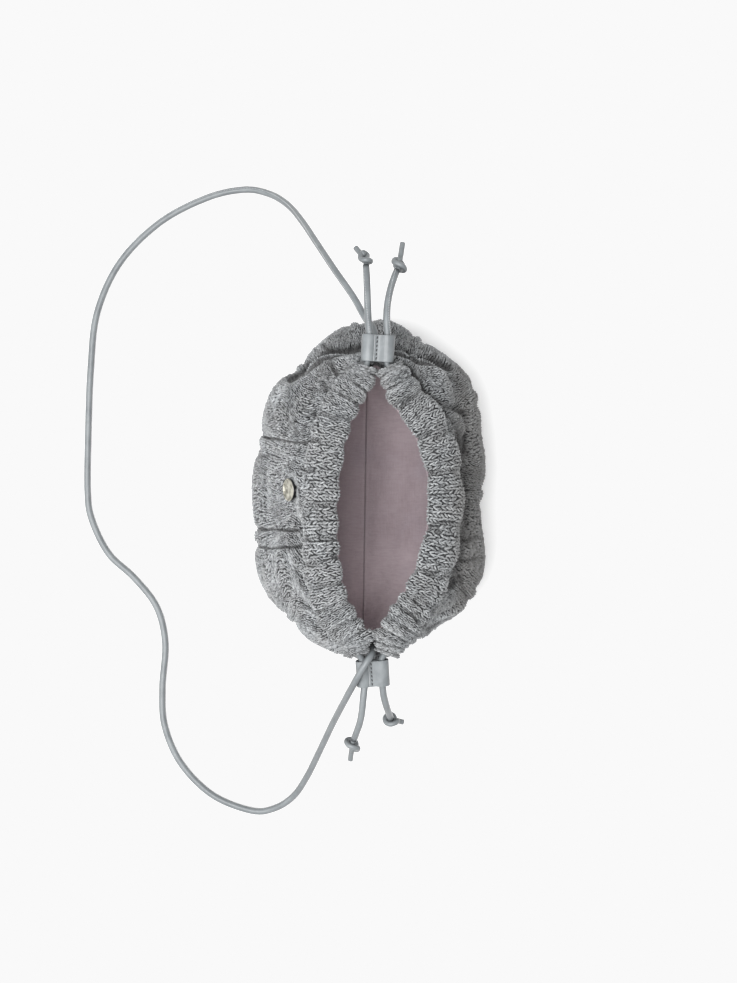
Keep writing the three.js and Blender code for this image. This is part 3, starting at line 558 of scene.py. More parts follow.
def gathers(side, share, turn):
    """Puffs of the knit between its pleats: 1 at a crest and 0 in a pleat"""
    pleats = np.array([-0.03, *PLEATS[side], 1.03])
    slants = 0.008 * np.sin(5.1 * np.arange(len(pleats)))
    wavy = share + 0.0022 * np.sin(3 * turn + 40 * share)
    puff = np.full(share.shape, 1.0)
    for k in range(len(pleats) - 1):
        start = pleats[k] + slants[k] * np.cos(turn)
        end = pleats[k + 1] + slants[k + 1] * np.cos(turn)
        along = (wavy - start) / (end - start)
        inside = (along >= 0) & (along <= 1)
        dome = np.sqrt(np.clip(4 * along * (1 - along), 0, 1))
        puff = np.where(inside, dome, puff)
    return puff


def neck_pleats(around, up):
    """Gathers just below the casings, in line with theirs"""
    depth = smooth_step((np.asarray(up) - 3.9) / 0.9)
    around, depth = np.broadcast_arrays(np.asarray(around, float) % 1, depth)
    puff = np.where(around < 0.5, gathers("front", 2 * around, np.zeros(around.shape)),
                    gathers("back", 2 - 2 * around, np.zeros(around.shape)))
    turn = 2 * math.pi * np.asarray(around)
    wave = np.sin(38 * turn) + 0.6 * np.sin(61 * turn + 1.3) + 0.5 * np.sin(23 * turn + 0.4)
    return (0.0004 * wave - NECK_PLEAT * (1 - puff)) * depth


# Meshes

def new_object(name, points, faces, material, smooth=True):
    mesh = bpy.data.meshes.new(name)
    mesh.from_pydata([tuple(p) for p in points], [], faces)
    mesh.materials.append(material)
    mesh.polygons.foreach_set("use_smooth", [smooth] * len(mesh.polygons))
    mesh.update()
    made = bpy.data.objects.new(name, mesh)
    bpy.context.scene.collection.objects.link(made)
    return made


def grid_faces(rows, columns, start=0, closed=True):
    """Quads between rows of points, each row closed on itself or left open"""
    faces = []
    for row in range(rows - 1):
        for column in range(columns if closed else columns - 1):
            a = start + row * columns + column
            b = start + row * columns + (column + 1) % columns
            faces.append((a, b, b + columns, a + columns))
    return faces


def fan_faces(columns, ring, centre, turned=False):
    faces = [(centre, ring + (i + 1) % columns, ring + i) for i in range(columns)]
    return [face[::-1] for face in faces] if turned else faces


def closed_shell(name, rings, start, end, material, smooth=True):
    """A closed piece from rings of points in order, each end closed by a fan to a point"""
    columns = len(rings[0])
    total = columns * len(rings)
    faces = grid_faces(len(rings), columns)
    faces += fan_faces(columns, 0, total) + fan_faces(columns, total - columns, total + 1, turned=True)
    return new_object(name, np.concatenate([*rings, [start], [end]]), faces, material, smooth)


def turned_out(piece):
    """Turns every face of a closed piece outwards"""
    work = bmesh.new()
    work.from_mesh(piece.data)
    bmesh.ops.remove_doubles(work, verts=work.verts, dist=1e-6)
    bmesh.ops.recalc_face_normals(work, faces=work.faces)
    work.to_mesh(piece.data)
    work.free()


def vectors_of(items, field):
    numbers = np.empty(3 * len(items))
    items.foreach_get(field, numbers)
    return numbers.reshape(-1, 3)


def counts_of(items, field):
    numbers = np.empty(len(items), int)
    items.foreach_get(field, numbers)
    return numbers


def drop_attributes(mesh, labels):
    for label in labels:
        if label in mesh.attributes:
            mesh.attributes.remove(mesh.attributes[label])


def standing_for(piece, slot, *nodes):
    """Puts a piece on the one body, in place of the CAD nodes named. slot is not used."""
    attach(piece, "root")
    if nodes:
        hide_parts(*nodes)
    return piece


# Node trees, written as expressions

YARN_DARK = (0.045, 0.048, 0.052)
YARN_LIGHT = (0.58, 0.6, 0.615)
YARN_WARM = (0.36, 0.345, 0.335)
# Painted shade for the back of the knit, under the overhang of the back casing
YARN_BACK_SHADE = (0.16, 0.15, 0.14)
# Painted shade in creases and pleats
YARN_CREASE_SHADE = (0.028, 0.026, 0.025)


class Term:
    """One socket of a node tree. Sums written on it add Math nodes."""

    def __init__(self, tree, socket):
        self.tree = tree
        self.socket = socket

    def math(self, operation, *values):
        inputs = dict(enumerate(values))
        return self.tree.node("ShaderNodeMath", {"operation": operation}, inputs)

    def __add__(self, other):
        return self.math("ADD", self, other)

    def __radd__(self, other):
        return self.math("ADD", other, self)

    def __sub__(self, other):
        return self.math("SUBTRACT", self, other)

    def __rsub__(self, other):
        return self.math("SUBTRACT", other, self)

    def __mul__(self, other):
        return self.math("MULTIPLY", self, other)

    def __rmul__(self, other):
        return self.math("MULTIPLY", other, self)

    def sine(self):
        return self.math("SINE", self)

    def size(self):
        return self.math("ABSOLUTE", self)

    def between(self, low, high):
        """0 below low, 1 above high and smooth between them"""
        return self.tree.node("ShaderNodeMapRange", {"interpolation_type": "SMOOTHSTEP"},
                              {"Value": self, "From Min": low, "From Max": high})


class Tree:
    """A node tree whose nodes all come from one method."""

    def __init__(self, nodes, links):
        self.nodes = nodes
        self.links = links

    def put(self, socket, value):
        if isinstance(value, Term):
            self.links.new(value.socket, socket)
        else:
            socket.default_value = value

    def node(self, kind, settings=None, inputs=None, output=0):
        made = self.nodes.new(kind)
        for name, value in (settings or {}).items():
            setattr(made, name, value)
        for name, value in (inputs or {}).items():
            self.put(made.inputs[name], value)
        return Term(self, made.outputs[output])


class Paint(Tree):
    """A material on a Principled shader. Constants go straight to its sockets."""

    def __init__(self, name, **constants):
        self.material = bpy.data.materials.new(name)
        self.material.use_nodes = True
        super().__init__(self.material.node_tree.nodes, self.material.node_tree.links)
        self.shader = self.nodes["Principled BSDF"]
        for socket, value in constants.items():
            self.shader.inputs[socket.replace("_", " ")].default_value = value

    def feed(self, **values):
        for socket, value in values.items():
            self.put(self.shader.inputs[socket.replace("_", " ")], value)

    def place(self):
        return self.node("ShaderNodeTexCoord", output="Object")

    def parts(self, vector):
        split = self.node("ShaderNodeSeparateXYZ", inputs={0: vector})
        outputs = split.socket.node.outputs
        return [Term(self, outputs[i]) for i in range(3)]

    def scaled(self, vector, scale):
        return self.node("ShaderNodeVectorMath", {"operation": "MULTIPLY"}, {0: vector, 1: scale})

    def noise(self, vector, scale, detail=2.0, roughness=0.5):
        return self.node("ShaderNodeTexNoise", inputs={
            "Vector": vector, "Scale": scale, "Detail": detail, "Roughness": roughness})

    def mix(self, share, first, second, way="MIX"):
        """Two colours mixed by a share"""
        made = self.nodes.new("ShaderNodeMix")
        made.data_type = "RGBA"
        made.blend_type = way
        self.put(made.inputs[0], share)
        for socket, value in ((made.inputs[6], first), (made.inputs[7], second)):
            self.put(socket, value if isinstance(value, Term) else (*value, 1))
        return Term(self, made.outputs[2])

    def bump(self, height, distance, strength=1.0, normal=None):
        inputs = {"Height": height, "Distance": distance, "Strength": strength}
        if normal is not None:
            inputs["Normal"] = normal
        return self.node("ShaderNodeBump", inputs=inputs)


def yarn_paint(name, shade, toned):
    """Heathered wool: light and dark fibres spun into one yarn, with painted shade on the back of the knit. When
    toned, each leg of a stitch has a tone of its own, creases and pleats get painted shade and crests a painted
    highlight.
    shade darkens the knit that lies behind the stitches, as painted shade."""
    paint = Paint(name, Roughness=0.92, Sheen_Weight=0.2, Sheen_Roughness=0.5, Specular_IOR_Level=0.2)
    place = paint.place()
    flecks = paint.noise(place, 520, 3, 0.7).between(0.36, 0.64)
    patches = paint.noise(place, 45, 2).between(0.3, 0.7)
    share = flecks
    if toned:
        leg = paint.node("ShaderNodeAttribute", {"attribute_name": "tone"}, output=2)
        crease = paint.node("ShaderNodeAttribute", {"attribute_name": "crease"}, output=2)
        # Crests of the knit get a painted highlight
        share = flecks * 0.5 + leg * 0.36 + 0.05 + crease.between(0.1, 0.7) * 0.12 + crease.between(0.9, 1.3) * 0.3
    colour = paint.mix(share, tuple(c * shade for c in YARN_DARK), tuple(c * shade for c in YARN_LIGHT))
    colour = paint.mix(patches * 0.2, colour, tuple(c * shade for c in YARN_WARM))
    y = paint.parts(place)[1]
    # Painted shade: the back of the knit is darker
    colour = paint.mix(y.between(0.058, 0.076) * 0.55, colour, tuple(c * shade for c in YARN_BACK_SHADE))
    if toned:
        # Creases and pleats get painted shade
        colour = paint.mix((crease * -1.0).between(0.4, 3.2) * 0.78, colour, YARN_CREASE_SHADE)
    fibres = paint.noise(place, 2600, 2, 0.6)
    paint.feed(Base_Color=colour, Normal=paint.bump(fibres, 0.0002, 0.6))
    return paint.material


def cotton_paint():
    """Plain woven cotton, mauve-grey, with a weave, slubs, soft creases and the seam down its middle, and painted
    light that makes it lighter towards its ends and its front
    """
    paint = Paint("lining_cotton", Roughness=0.8, Sheen_Weight=0.15, Sheen_Roughness=0.4,
                  Specular_IOR_Level=0.25)
    place = paint.place()
    x, y, _ = paint.parts(place)
    threads = 2 * math.pi / 0.0009
    weave = (x * threads).sine() * (y * threads).sine()
    cloud = paint.noise(place, 40, 3, 0.6).between(0.25, 0.75)
    along = paint.noise(paint.scaled(place, (70, 900, 300)), 1.0, 2).between(0.35, 0.7)
    crossways = paint.noise(paint.scaled(place, (900, 70, 300)), 1.0, 2).between(0.35, 0.7)
    colour = paint.mix(cloud, (0.265, 0.212, 0.228), (0.305, 0.25, 0.268))
    # Painted light: the cotton is lighter towards both ends
    far = (x - 0.001).size().between(0.02, 0.09)
    colour = paint.mix(far * 0.85, colour, (0.48, 0.395, 0.42))
    # Painted light: the cotton is lighter towards the front
    colour = paint.mix((y * -1.0).between(-0.004, 0.02) * 0.2, colour, (0.47, 0.385, 0.41))
    worn = paint.noise(place, 28, 2, 0.5).between(0.45, 0.75)
    colour = paint.mix(worn * 0.3, colour, (0.3, 0.265, 0.31))
    colour = paint.mix(along * 0.2, colour, (0.36, 0.31, 0.325))
    colour = paint.mix(crossways * 0.2, colour, (0.2, 0.155, 0.17))
    beside = (y + x * 0.015 + 0.0027).size()
    stitched = 1.0 - beside.between(0.0003, 0.0007)
    colour = paint.mix(stitched * 0.5, colour, (0.1, 0.085, 0.09))
    creases = paint.noise(place, 90, 3, 0.55)
    soft = paint.bump(creases - stitched * 0.5, 0.0022, 0.8)
    paint.feed(Base_Color=colour, Normal=paint.bump(weave, 0.00006, 0.4, soft))
    return paint.material


def leather_paint(name, light, dark):
    """Smooth, lightly coated leather with a fine grain, slight wear, and painted shade on its sides and underside
    """
    paint = Paint(name, Coat_Weight=0.25, Coat_Roughness=0.28)
    place = paint.place()
    wear = paint.noise(place, 70, 3, 0.6).between(0.3, 0.7)
    grain = paint.node("ShaderNodeTexVoronoi", {"feature": "DISTANCE_TO_EDGE"},
                       {"Vector": place, "Scale": 1500}).between(0.0, 0.25)
    colour = paint.mix(wear, dark, light)
    # Painted shade: darker where its face turns from up, on its sides and underside
    level = paint.parts(paint.node("ShaderNodeNewGeometry", output=1))[2]
    colour = paint.mix((1.0 - level.between(0.35, 0.95)) * 0.62, colour, tuple(0.35 * c for c in dark))
    paint.feed(Base_Color=colour, Roughness=wear * 0.1 + 0.34, Normal=paint.bump(grain, 0.00008, 0.45))
    return paint.material


def metal_paint(name, colour, worn, roughness, mottled=0.0):
    paint = Paint(name, Metallic=1.0)
    place = paint.place()
    scratches = paint.noise(paint.scaled(place, (300, 300, 2400)), 1.0, 3, 0.7)
    smudges = paint.noise(place, 260, 2).between(0.35, 0.7)
    hammered = paint.noise(place, 900, 2, 0.6)
    paint.feed(Base_Color=paint.mix(smudges, colour, worn), Roughness=smudges * 0.15 + roughness,
               Normal=paint.bump(hammered, mottled, 1.0, paint.bump(scratches, 0.00003, 0.4)))
    return paint.material


YARN = yarn_paint("heather_yarn", 1.0, True)
YARN_SHADE = yarn_paint("heather_yarn_shade", 0.14, False)
COTTON = cotton_paint()
LEATHER_PAINT = leather_paint("grey_leather", (0.225, 0.244, 0.254), (0.165, 0.18, 0.19))
DARK_METAL = metal_paint("dark_plating", (0.06, 0.06, 0.064), (0.11, 0.11, 0.115), 0.28)
PALE_METAL = metal_paint("champagne_plating", (0.46, 0.445, 0.385), (0.2, 0.195, 0.165), 0.3, 0.0005)
THREAD = leather_paint("dark_thread", (0.03, 0.03, 0.032), (0.015, 0.015, 0.017))
PALE_THREAD = leather_paint("pale_thread", (0.72, 0.74, 0.75), (0.6, 0.62, 0.63))
# Painted highlight on the cut edge of the sliders' flaps
EDGE_HIGHLIGHT = leather_paint("edge_highlight", (0.62, 0.63, 0.635), (0.5, 0.51, 0.515))


# Camera, floor and light

def make_camera():
    lens = bpy.data.cameras.new("camera")
    lens.sensor_width = SENSOR_WIDTH
    lens.lens = FOCAL_PIXELS / PICTURE_LONG_SIDE * SENSOR_WIDTH
    lens.clip_start = 0.1
    lens.clip_end = 20
    camera = bpy.data.objects.new("camera", lens)
    camera.location = (0, 0, CAMERA_HEIGHT)
    camera.rotation_euler = (0, 0, math.pi / 2)
    bpy.context.scene.collection.objects.link(camera)
    bpy.context.scene.camera = camera


make_camera()


# Stitches, made by nodes

STITCH_LABELS = ("in_cell", "cell_place", "outward", "grow", "cell_size")


def stitch_group(title, sides, rings):
    """Geometry Nodes tree that sets a stitch on every point of a mesh, with a leg on each of the sides named"""
    group = bpy.data.node_groups.new(title, "GeometryNodeTree")
    group.interface.new_socket("Geometry", in_out="INPUT", socket_type="NodeSocketGeometry")
    sockets = {}
    for name, kind in (("Leg Width", "NodeSocketFloat"), ("Leg Length", "NodeSocketFloat"),
                       ("Leg Apart", "NodeSocketFloat"), ("Lean", "NodeSocketFloat"),
                       ("Seed", "NodeSocketInt"), ("Material", "NodeSocketMaterial")):
        sockets[name] = group.interface.new_socket(name, in_out="INPUT", socket_type=kind).identifier
    group.interface.new_socket("Geometry", in_out="OUTPUT", socket_type="NodeSocketGeometry")
    tree = Tree(group.nodes, group.links)
    given = group.nodes.new("NodeGroupInput")
    value = {socket.name: Term(tree, socket) for socket in given.outputs if socket.name}
    vector = lambda **parts: tree.node("ShaderNodeCombineXYZ", inputs=parts)
    read = lambda name: tree.node("GeometryNodeInputNamedAttribute", {"data_type": "FLOAT_VECTOR"},
                                  {"Name": name})
    turn = tree.node("FunctionNodeAxesToRotation", {"primary_axis": "Z", "secondary_axis": "Y"},
                     {0: read("outward"), 1: read("grow")})
    points = tree.node("GeometryNodeMeshToPoints", {"mode": "VERTICES"}, {"Mesh": value["Geometry"]})
    joined = group.nodes.new("GeometryNodeJoinGeometry")
    for side in sides:
        ball = tree.node("GeometryNodeMeshUVSphere", inputs={"Segments": 4, "Rings": rings, "Radius": 1.0})
        laid = tree.node("GeometryNodeTransform", inputs={
            "Geometry": ball, "Rotation": (math.pi / 2, 0.0, 0.0),
            "Scale": vector(X=value["Leg Width"], Y=1.0, Z=value["Leg Length"])})
        leg = tree.node("GeometryNodeTransform", inputs={
            "Geometry": laid, "Translation": vector(X=value["Leg Apart"] * side),
            "Rotation": vector(Z=value["Lean"] * -side)})
        smooth = tree.node("GeometryNodeSetShadeSmooth", inputs={"Geometry": leg})
        kept = tree.node("GeometryNodeStoreNamedAttribute", {"data_type": "FLOAT_VECTOR", "domain": "POINT"}, {
            "Geometry": smooth, "Name": "in_cell", "Value": tree.node("GeometryNodeInputPosition")})
        seed = value["Seed"] + 50 * side
        jitter = tree.node("FunctionNodeRandomValue", {"data_type": "FLOAT_VECTOR"},
                           {0: (0.88, 0.92, 0.75), 1: (1.12, 1.1, 1.25), "Seed": seed})
        size = tree.node("ShaderNodeVectorMath", {"operation": "MULTIPLY"}, {0: read("cell_size"), 1: jitter})
        stood = tree.node("GeometryNodeInstanceOnPoints", inputs={
            "Points": points, "Instance": kept, "Rotation": turn, "Scale": size})
        toned = tree.node("GeometryNodeStoreNamedAttribute", {"data_type": "FLOAT", "domain": "INSTANCE"}, {
            "Geometry": stood, "Name": "tone",
            "Value": tree.node("FunctionNodeRandomValue", inputs={"Seed": seed + 7}, output=1)})
        group.links.new(toned.socket, joined.inputs[0])
    real = tree.node("GeometryNodeRealizeInstances", inputs={"Geometry": Term(tree, joined.outputs[0])})
    painted = tree.node("GeometryNodeSetMaterial", inputs={"Geometry": real, "Material": value["Material"]})
    out = group.nodes.new("NodeGroupOutput")
    group.links.new(painted.socket, out.inputs[0])
    return group, sockets


STITCH_GROUP, STITCH_SOCKETS = stitch_group("knit_stitch", (1, -1), 4)
SEAM_GROUP, SEAM_SOCKETS = stitch_group("seam_stitch", (0,), 3)


def made_by_nodes(name, group, sockets, values, source, attributes, material):
    """Runs a node tree on a mesh of points and keeps what it makes as a plain mesh"""
    mesh = bpy.data.meshes.new(name)
    mesh.from_pydata([tuple(p) for p in source], [], [])
    for label, numbers in attributes.items():
        layer = mesh.attributes.new(label, "FLOAT_VECTOR", "POINT")
        layer.data.foreach_set("vector", np.asarray(numbers, float).ravel())
    made = bpy.data.objects.new(name, mesh)
    bpy.context.scene.collection.objects.link(made)
    modifier = made.modifiers.new("nodes", "NODES")
    modifier.node_group = group
    for label, number in values.items():
        modifier[sockets[label]] = number
    modifier[sockets["Material"]] = material
    depsgraph = bpy.context.evaluated_depsgraph_get()
    plain = bpy.data.meshes.new_from_object(made.evaluated_get(depsgraph))
    made.modifiers.remove(modifier)
    made.data = plain
    bpy.data.meshes.remove(mesh)
    plain.name = name
    if not plain.materials:
        plain.materials.append(material)
    return made


# Cords

def tube(name, points, diameter, sides, step, material, seam_turn=0.0):
    """A round cord with a shallow seam along it. Returns the object and the points that it follows."""
    points = np.asarray(points, float)
    fine = through(points, np.linspace(0, len(points) - 1, 40 * len(points)))
    lengths = run_lengths(fine)
    count = max(int(round(lengths[-1] / step)), 4)
    path = at_lengths(np.linspace(0, lengths[-1], count + 1), lengths, fine)
    ways = unit(np.gradient(path, axis=0))
    turns = 2 * math.pi * np.arange(sides) / sides
    apart = np.abs((turns - seam_turn + math.pi) % (2 * math.pi) - math.pi)
    radius = diameter / 2 * (1 - 0.07 * hump(apart, 0.28))
    rings = []
    for centre, way, side in zip(path, ways, carried_side(ways)):
        lift = np.cross(side, way)
        rings.append(centre + radius[:, None] * (
            np.cos(turns)[:, None] * side + np.sin(turns)[:, None] * lift))
    points = np.concatenate(rings + [[path[0] - ways[0] * 0.0002], [path[-1] + ways[-1] * 0.0002]])
    faces = [face[::-1] for face in grid_faces(len(rings), sides)]
    total = len(rings) * sides
    faces += fan_faces(sides, 0, total, turned=True) + fan_faces(sides, total - sides, total + 1)
    return new_object(name, points, faces, material), path


def sew(cord, path, diameter, seam_at):
    """Adds the fine pale stitches of the cord's seam to its mesh. seam_at is the seam's place round the cord at
    a share of its length."""
    lengths = run_lengths(path)
    at = np.arange(SEAM_STITCH, lengths[-1] - SEAM_STITCH, SEAM_STITCH)
    ways = unit(np.gradient(path, axis=0))
    centre = at_lengths(at, lengths, path)
    way = unit(at_lengths(at, lengths, ways))
    across = unit(at_lengths(at, lengths, carried_side(ways)))
    lift = np.cross(across, way)
    turn = seam_at(at / lengths[-1])[:, None]
    outward = np.cos(turn) * across + np.sin(turn) * lift
    count = len(at)
    attributes = {
        "outward": outward, "grow": np.cross(outward, way) * 0.85 + way * 0.5,
        "cell_size": np.tile((0.00034, 0.00044, 0.0003), (count, 1)), "cell_place": np.zeros((count, 3))}
    values = {"Leg Width": 1.0, "Leg Length": 1.0, "Leg Apart": 0.0, "Lean": 0.0, "Seed": 3}
    thread = made_by_nodes(cord.name + "_seam", SEAM_GROUP, SEAM_SOCKETS, values,
                           centre + outward * (diameter / 2 - 0.00005), attributes, PALE_THREAD)
    work = bmesh.new()
    work.from_mesh(cord.data)
    plain = len(work.faces)
    work.from_mesh(thread.data)
    work.faces.ensure_lookup_table()
    for face in work.faces[plain:]:
        face.material_index = 1
    work.to_mesh(cord.data)
    work.free()
    cord.data.materials.append(PALE_THREAD)
    drop_attributes(cord.data, STITCH_LABELS + ("tone",))
    bpy.data.objects.remove(thread)


def slider_frame(end):
    """A slider's middle, and its ways along the cords, across them and up"""
    direction = unit(np.array(SLIDERS[end]["direction"], float))
    sideways = unit(np.cross((0, 0, 1), direction))
    upward = np.cross(direction, sideways)
    centre = casings_end(end) + direction * SLIDER_LENGTH * (0.5 + SLIDERS[end]["gap"])
    return centre, direction, sideways, upward


def channel_point(end, side, along):
    centre, direction, sideways, _ = slider_frame(end)
    towards_back = 1 if side == "back" else -1
    return centre + direction * along + sideways * (
        towards_back * math.copysign(1, sideways[1]) * SLIDER_SPREAD / 2)


def knot(label, start, way, tail_end, shape):
    """An overhand knot: the cord loops once round itself and comes out as a short tail"""
    start, way, tail_end = (np.asarray(v, float) for v in (start, way, tail_end))
    way = unit(way)
    side = unit(np.cross(way, (0, 0, 1)))
    lift = np.cross(side, way)
    centre = start + way * 0.0062
    out = unit(tail_end - centre)
    at = lambda a, b, c: centre + way * a * shape[0] + side * b * shape[1] + lift * c
    route = [
        at(-0.0062, 0, 0), at(-0.003, 0.0004, 0.0004), at(0.001, 0.0009, -0.0006),
        at(0.0042, 0.0022, -0.0024), at(0.0052, -0.0012, -0.0004), at(0.0032, -0.0045, 0.0016),
        at(-0.0004, -0.0048, 0.0022), at(-0.0026, -0.0018, 0.0044), at(-0.0028, 0.0022, 0.0042),
        at(-0.0018, 0.0048, 0.0012), at(-0.0004, 0.0046, -0.0026), at(0.001, 0.0014, -0.005),
        at(0.002, -0.0022, -0.0042), at(0.003, -0.003, -0.001), at(0.0036, -0.0014, 0.0024),
        centre + out * 0.0066, centre + out * 0.0095, tail_end,
    ]
    made, _ = tube(f"cord_{label}", route, KNOT_DIAMETER, 12, 0.0011, LEATHER_PAINT)
    return standing_for(made, "leather", label)


def make_cords():
    for end in ("left", "right"):
        for side in ("front", "back"):
            label = f"{side}_{end}"
            route = [channel_point(end, side, JOINT_ALONG), channel_point(end, side, SLIDER_LENGTH / 2)]
            route += [np.array(p) for p in STUB_ROUTES[label]]
            stub, path = tube(f"cord_end_{label}", route, CORD_DIAMETER, CORD_SIDES, CORD_STEP,
                              LEATHER_PAINT, seam_turn=SEAM_PLACES[label])
            sew(stub, path, CORD_DIAMETER, lambda share: SEAM_PLACES[label] + 1.4 * share)
            standing_for(stub, "leather", f"stub_{label}")
            made = knot(f"knot_{label}", path[-1], path[-1] - path[-2], KNOT_TAILS[label], KNOT_SHAPES[label])
            float(run_lengths(path)[-1])
    ends = {}
    for end, (around, up) in EYELETS.items():
        ends[end] = (smooth_wall(around, up), wall_normal(around, up))
    route = [ends["left"][0] - ends["left"][1] * STRAP_INSIDE, ends["left"][0] + ends["left"][1] * STRAP_OUTSIDE]
    route += [np.array(p) for p in STRAP_ROUTE]
    route += [ends["right"][0] + ends["right"][1] * STRAP_OUTSIDE,
              ends["right"][0] - ends["right"][1] * STRAP_INSIDE]
    strap, path = tube("shoulder_strap", route, CORD_DIAMETER, CORD_SIDES, CORD_STEP, LEATHER_PAINT,
                       seam_turn=-1.9)
    sew(strap, path, CORD_DIAMETER, lambda share: 1.2 - 5.2 * (share - 0.3))
    standing_for(strap, "leather", "strap")
    float(run_lengths(path)[-1])
    for side in ("front", "back"):
        place = np.arange(LAST_SECTION + 1.0)
        centre, outward, tilt, _ = casing_frame(side, place)
        inner = casing_point(centre, outward, tilt, channel(side, place)[0], np.zeros(len(place)))
        route = [channel_point("left", side, JOINT_ALONG - CLOTH_GAP), channel_point("left", side, -JOINT_ALONG)]
        route += list(inner)
        route += [channel_point("right", side, -JOINT_ALONG), channel_point("right", side, JOINT_ALONG - CLOTH_GAP)]
        cord, _ = tube(f"drawcord_{side}", route, CORD_DIAMETER, 12, 0.005, LEATHER_PAINT)
        standing_for(cord, "leather", f"{side}_drawcord")


make_cords()

# Knitted wall: a closed shell in the shade of the stitches, and the stitches on it

medallion_axis = wall_normal(*MEDALLION_PLACE)
medallion_corners = np.array([v.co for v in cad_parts["medallion"].data.vertices], float)
medallion_depths = medallion_corners @ medallion_axis
medallion_back = medallion_corners[np.isclose(medallion_depths, medallion_depths.min(), atol=1e-5)]
medallion_place = (medallion_back.max(0) + medallion_back.min(0)) / 2


def relief(around, up, lined):
    """Height of the knit over the smooth wall, with the knit pressed flat under the medallion"""
    near = smooth_wall(around, up)
    apart = np.linalg.norm(near - medallion_place, axis=-1)
    free = smooth_step((apart - 1.05 * MEDALLION_RADIUS) / (0.5 * MEDALLION_RADIUS))
    height = cable_height(around, up) + neck_pleats(around, up)
    height = height * free - 0.0011 * (1 - free) + fold_height(around, up)
    if lined:
        outward = wall_normal(around, up)
        seen = near + outward * height[..., None]
        pressed = line_height(seen, WALL_LINES) * line_share(seen) * towards_camera(outward)
        pressed = np.maximum(pressed, -DEEPEST_PRESS)
        height = height + pressed + SHELL_LAG * np.minimum(pressed, 0)
    return height


def wall_at(around, up, lift, lined=False):
    """The knitted wall, with the picture's lines pressed in or not"""
    return smooth_wall(around, up) + wall_normal(around, up) * (relief(around, up, lined) + lift)[..., None]


def make_shell():
    around = np.arange(2 * WALES) / (2 * WALES)
    levels = np.concatenate([np.linspace(0, 1.8, 16)[:-1], np.linspace(1.8, NECK_LEVEL, 68)])
    outer = [wall_at(around, np.full(len(around), up), -SHELL_SINK, True) for up in levels]
    outer[0][:, 2] = 0.0
    inner = []
    for up in (5, 4.2, 3.4, 2.6, 1.8, 1.0, 0.35):
        level = np.full(len(around), float(up))
        inner.append(smooth_wall(around, level) - wall_normal(around, level) * KNIT_WALL)
    inner[-1][:, 2] = KNIT_WALL
    shell = closed_shell("knit_shell", outer + inner, (0, 0, 0), (0, 0, KNIT_WALL), YARN_SHADE)
    return standing_for(shell, "knit", "knit_body")


def press_lines(piece, lines, share_at, pleat_shade):
    """Moves the stitches in and out along the picture's lines, and keeps each one's height, less its pleat, for
    painted shade in creases and pleats and a painted highlight on crests
    """
    mesh = piece.data
    points = vectors_of(mesh.vertices, "co")
    outward = vectors_of(mesh.attributes["outward"].data, "vector")
    depth = vectors_of(mesh.attributes["cell_place"].data, "vector")[:, 2]
    height = line_height(points, lines) * share_at(points) * towards_camera(outward)
    moved = outward * np.maximum(height, -DEEPEST_PRESS)[:, None]
    mesh.vertices.foreach_set("co", (points + moved).ravel())
    layer = mesh.attributes.new("crease", "FLOAT", "POINT")
    layer.data.foreach_set("value", height / MM - pleat_shade * depth)


def lay_stitch_map(piece, wales, courses):
    """Gives each stitch its own cell of the piece's map, its far side in a strip of that cell"""
    mesh = piece.data
    corners = counts_of(mesh.loops, "vertex_index")
    starts = counts_of(mesh.polygons, "loop_start")
    counts = counts_of(mesh.polygons, "loop_total")
    in_cell = vectors_of(mesh.attributes["in_cell"].data, "vector")[corners]
    cell = vectors_of(mesh.attributes["cell_place"].data, "vector")[corners]
    heights = np.add.reduceat(in_cell[:, 2], starts) / counts
    far = np.repeat(heights < 0, counts)
    across = np.clip(in_cell[:, 0] + 0.6, 0, 1.2) / 1.2
    along = np.clip(in_cell[:, 1] + 0.7, 0, 1.4) / 1.4
    across = np.where(far, 0.77 + 0.2 * across, 0.03 + 0.7 * across)
    along = 0.03 + 0.94 * along
    layer = mesh.uv_layers.new(name="OFBake")
    uv = np.stack([(cell[:, 0] + across) / wales, (cell[:, 1] + along) / courses], 1)
    layer.data.foreach_set("uv", uv.ravel())
    drop_attributes(mesh, STITCH_LABELS)


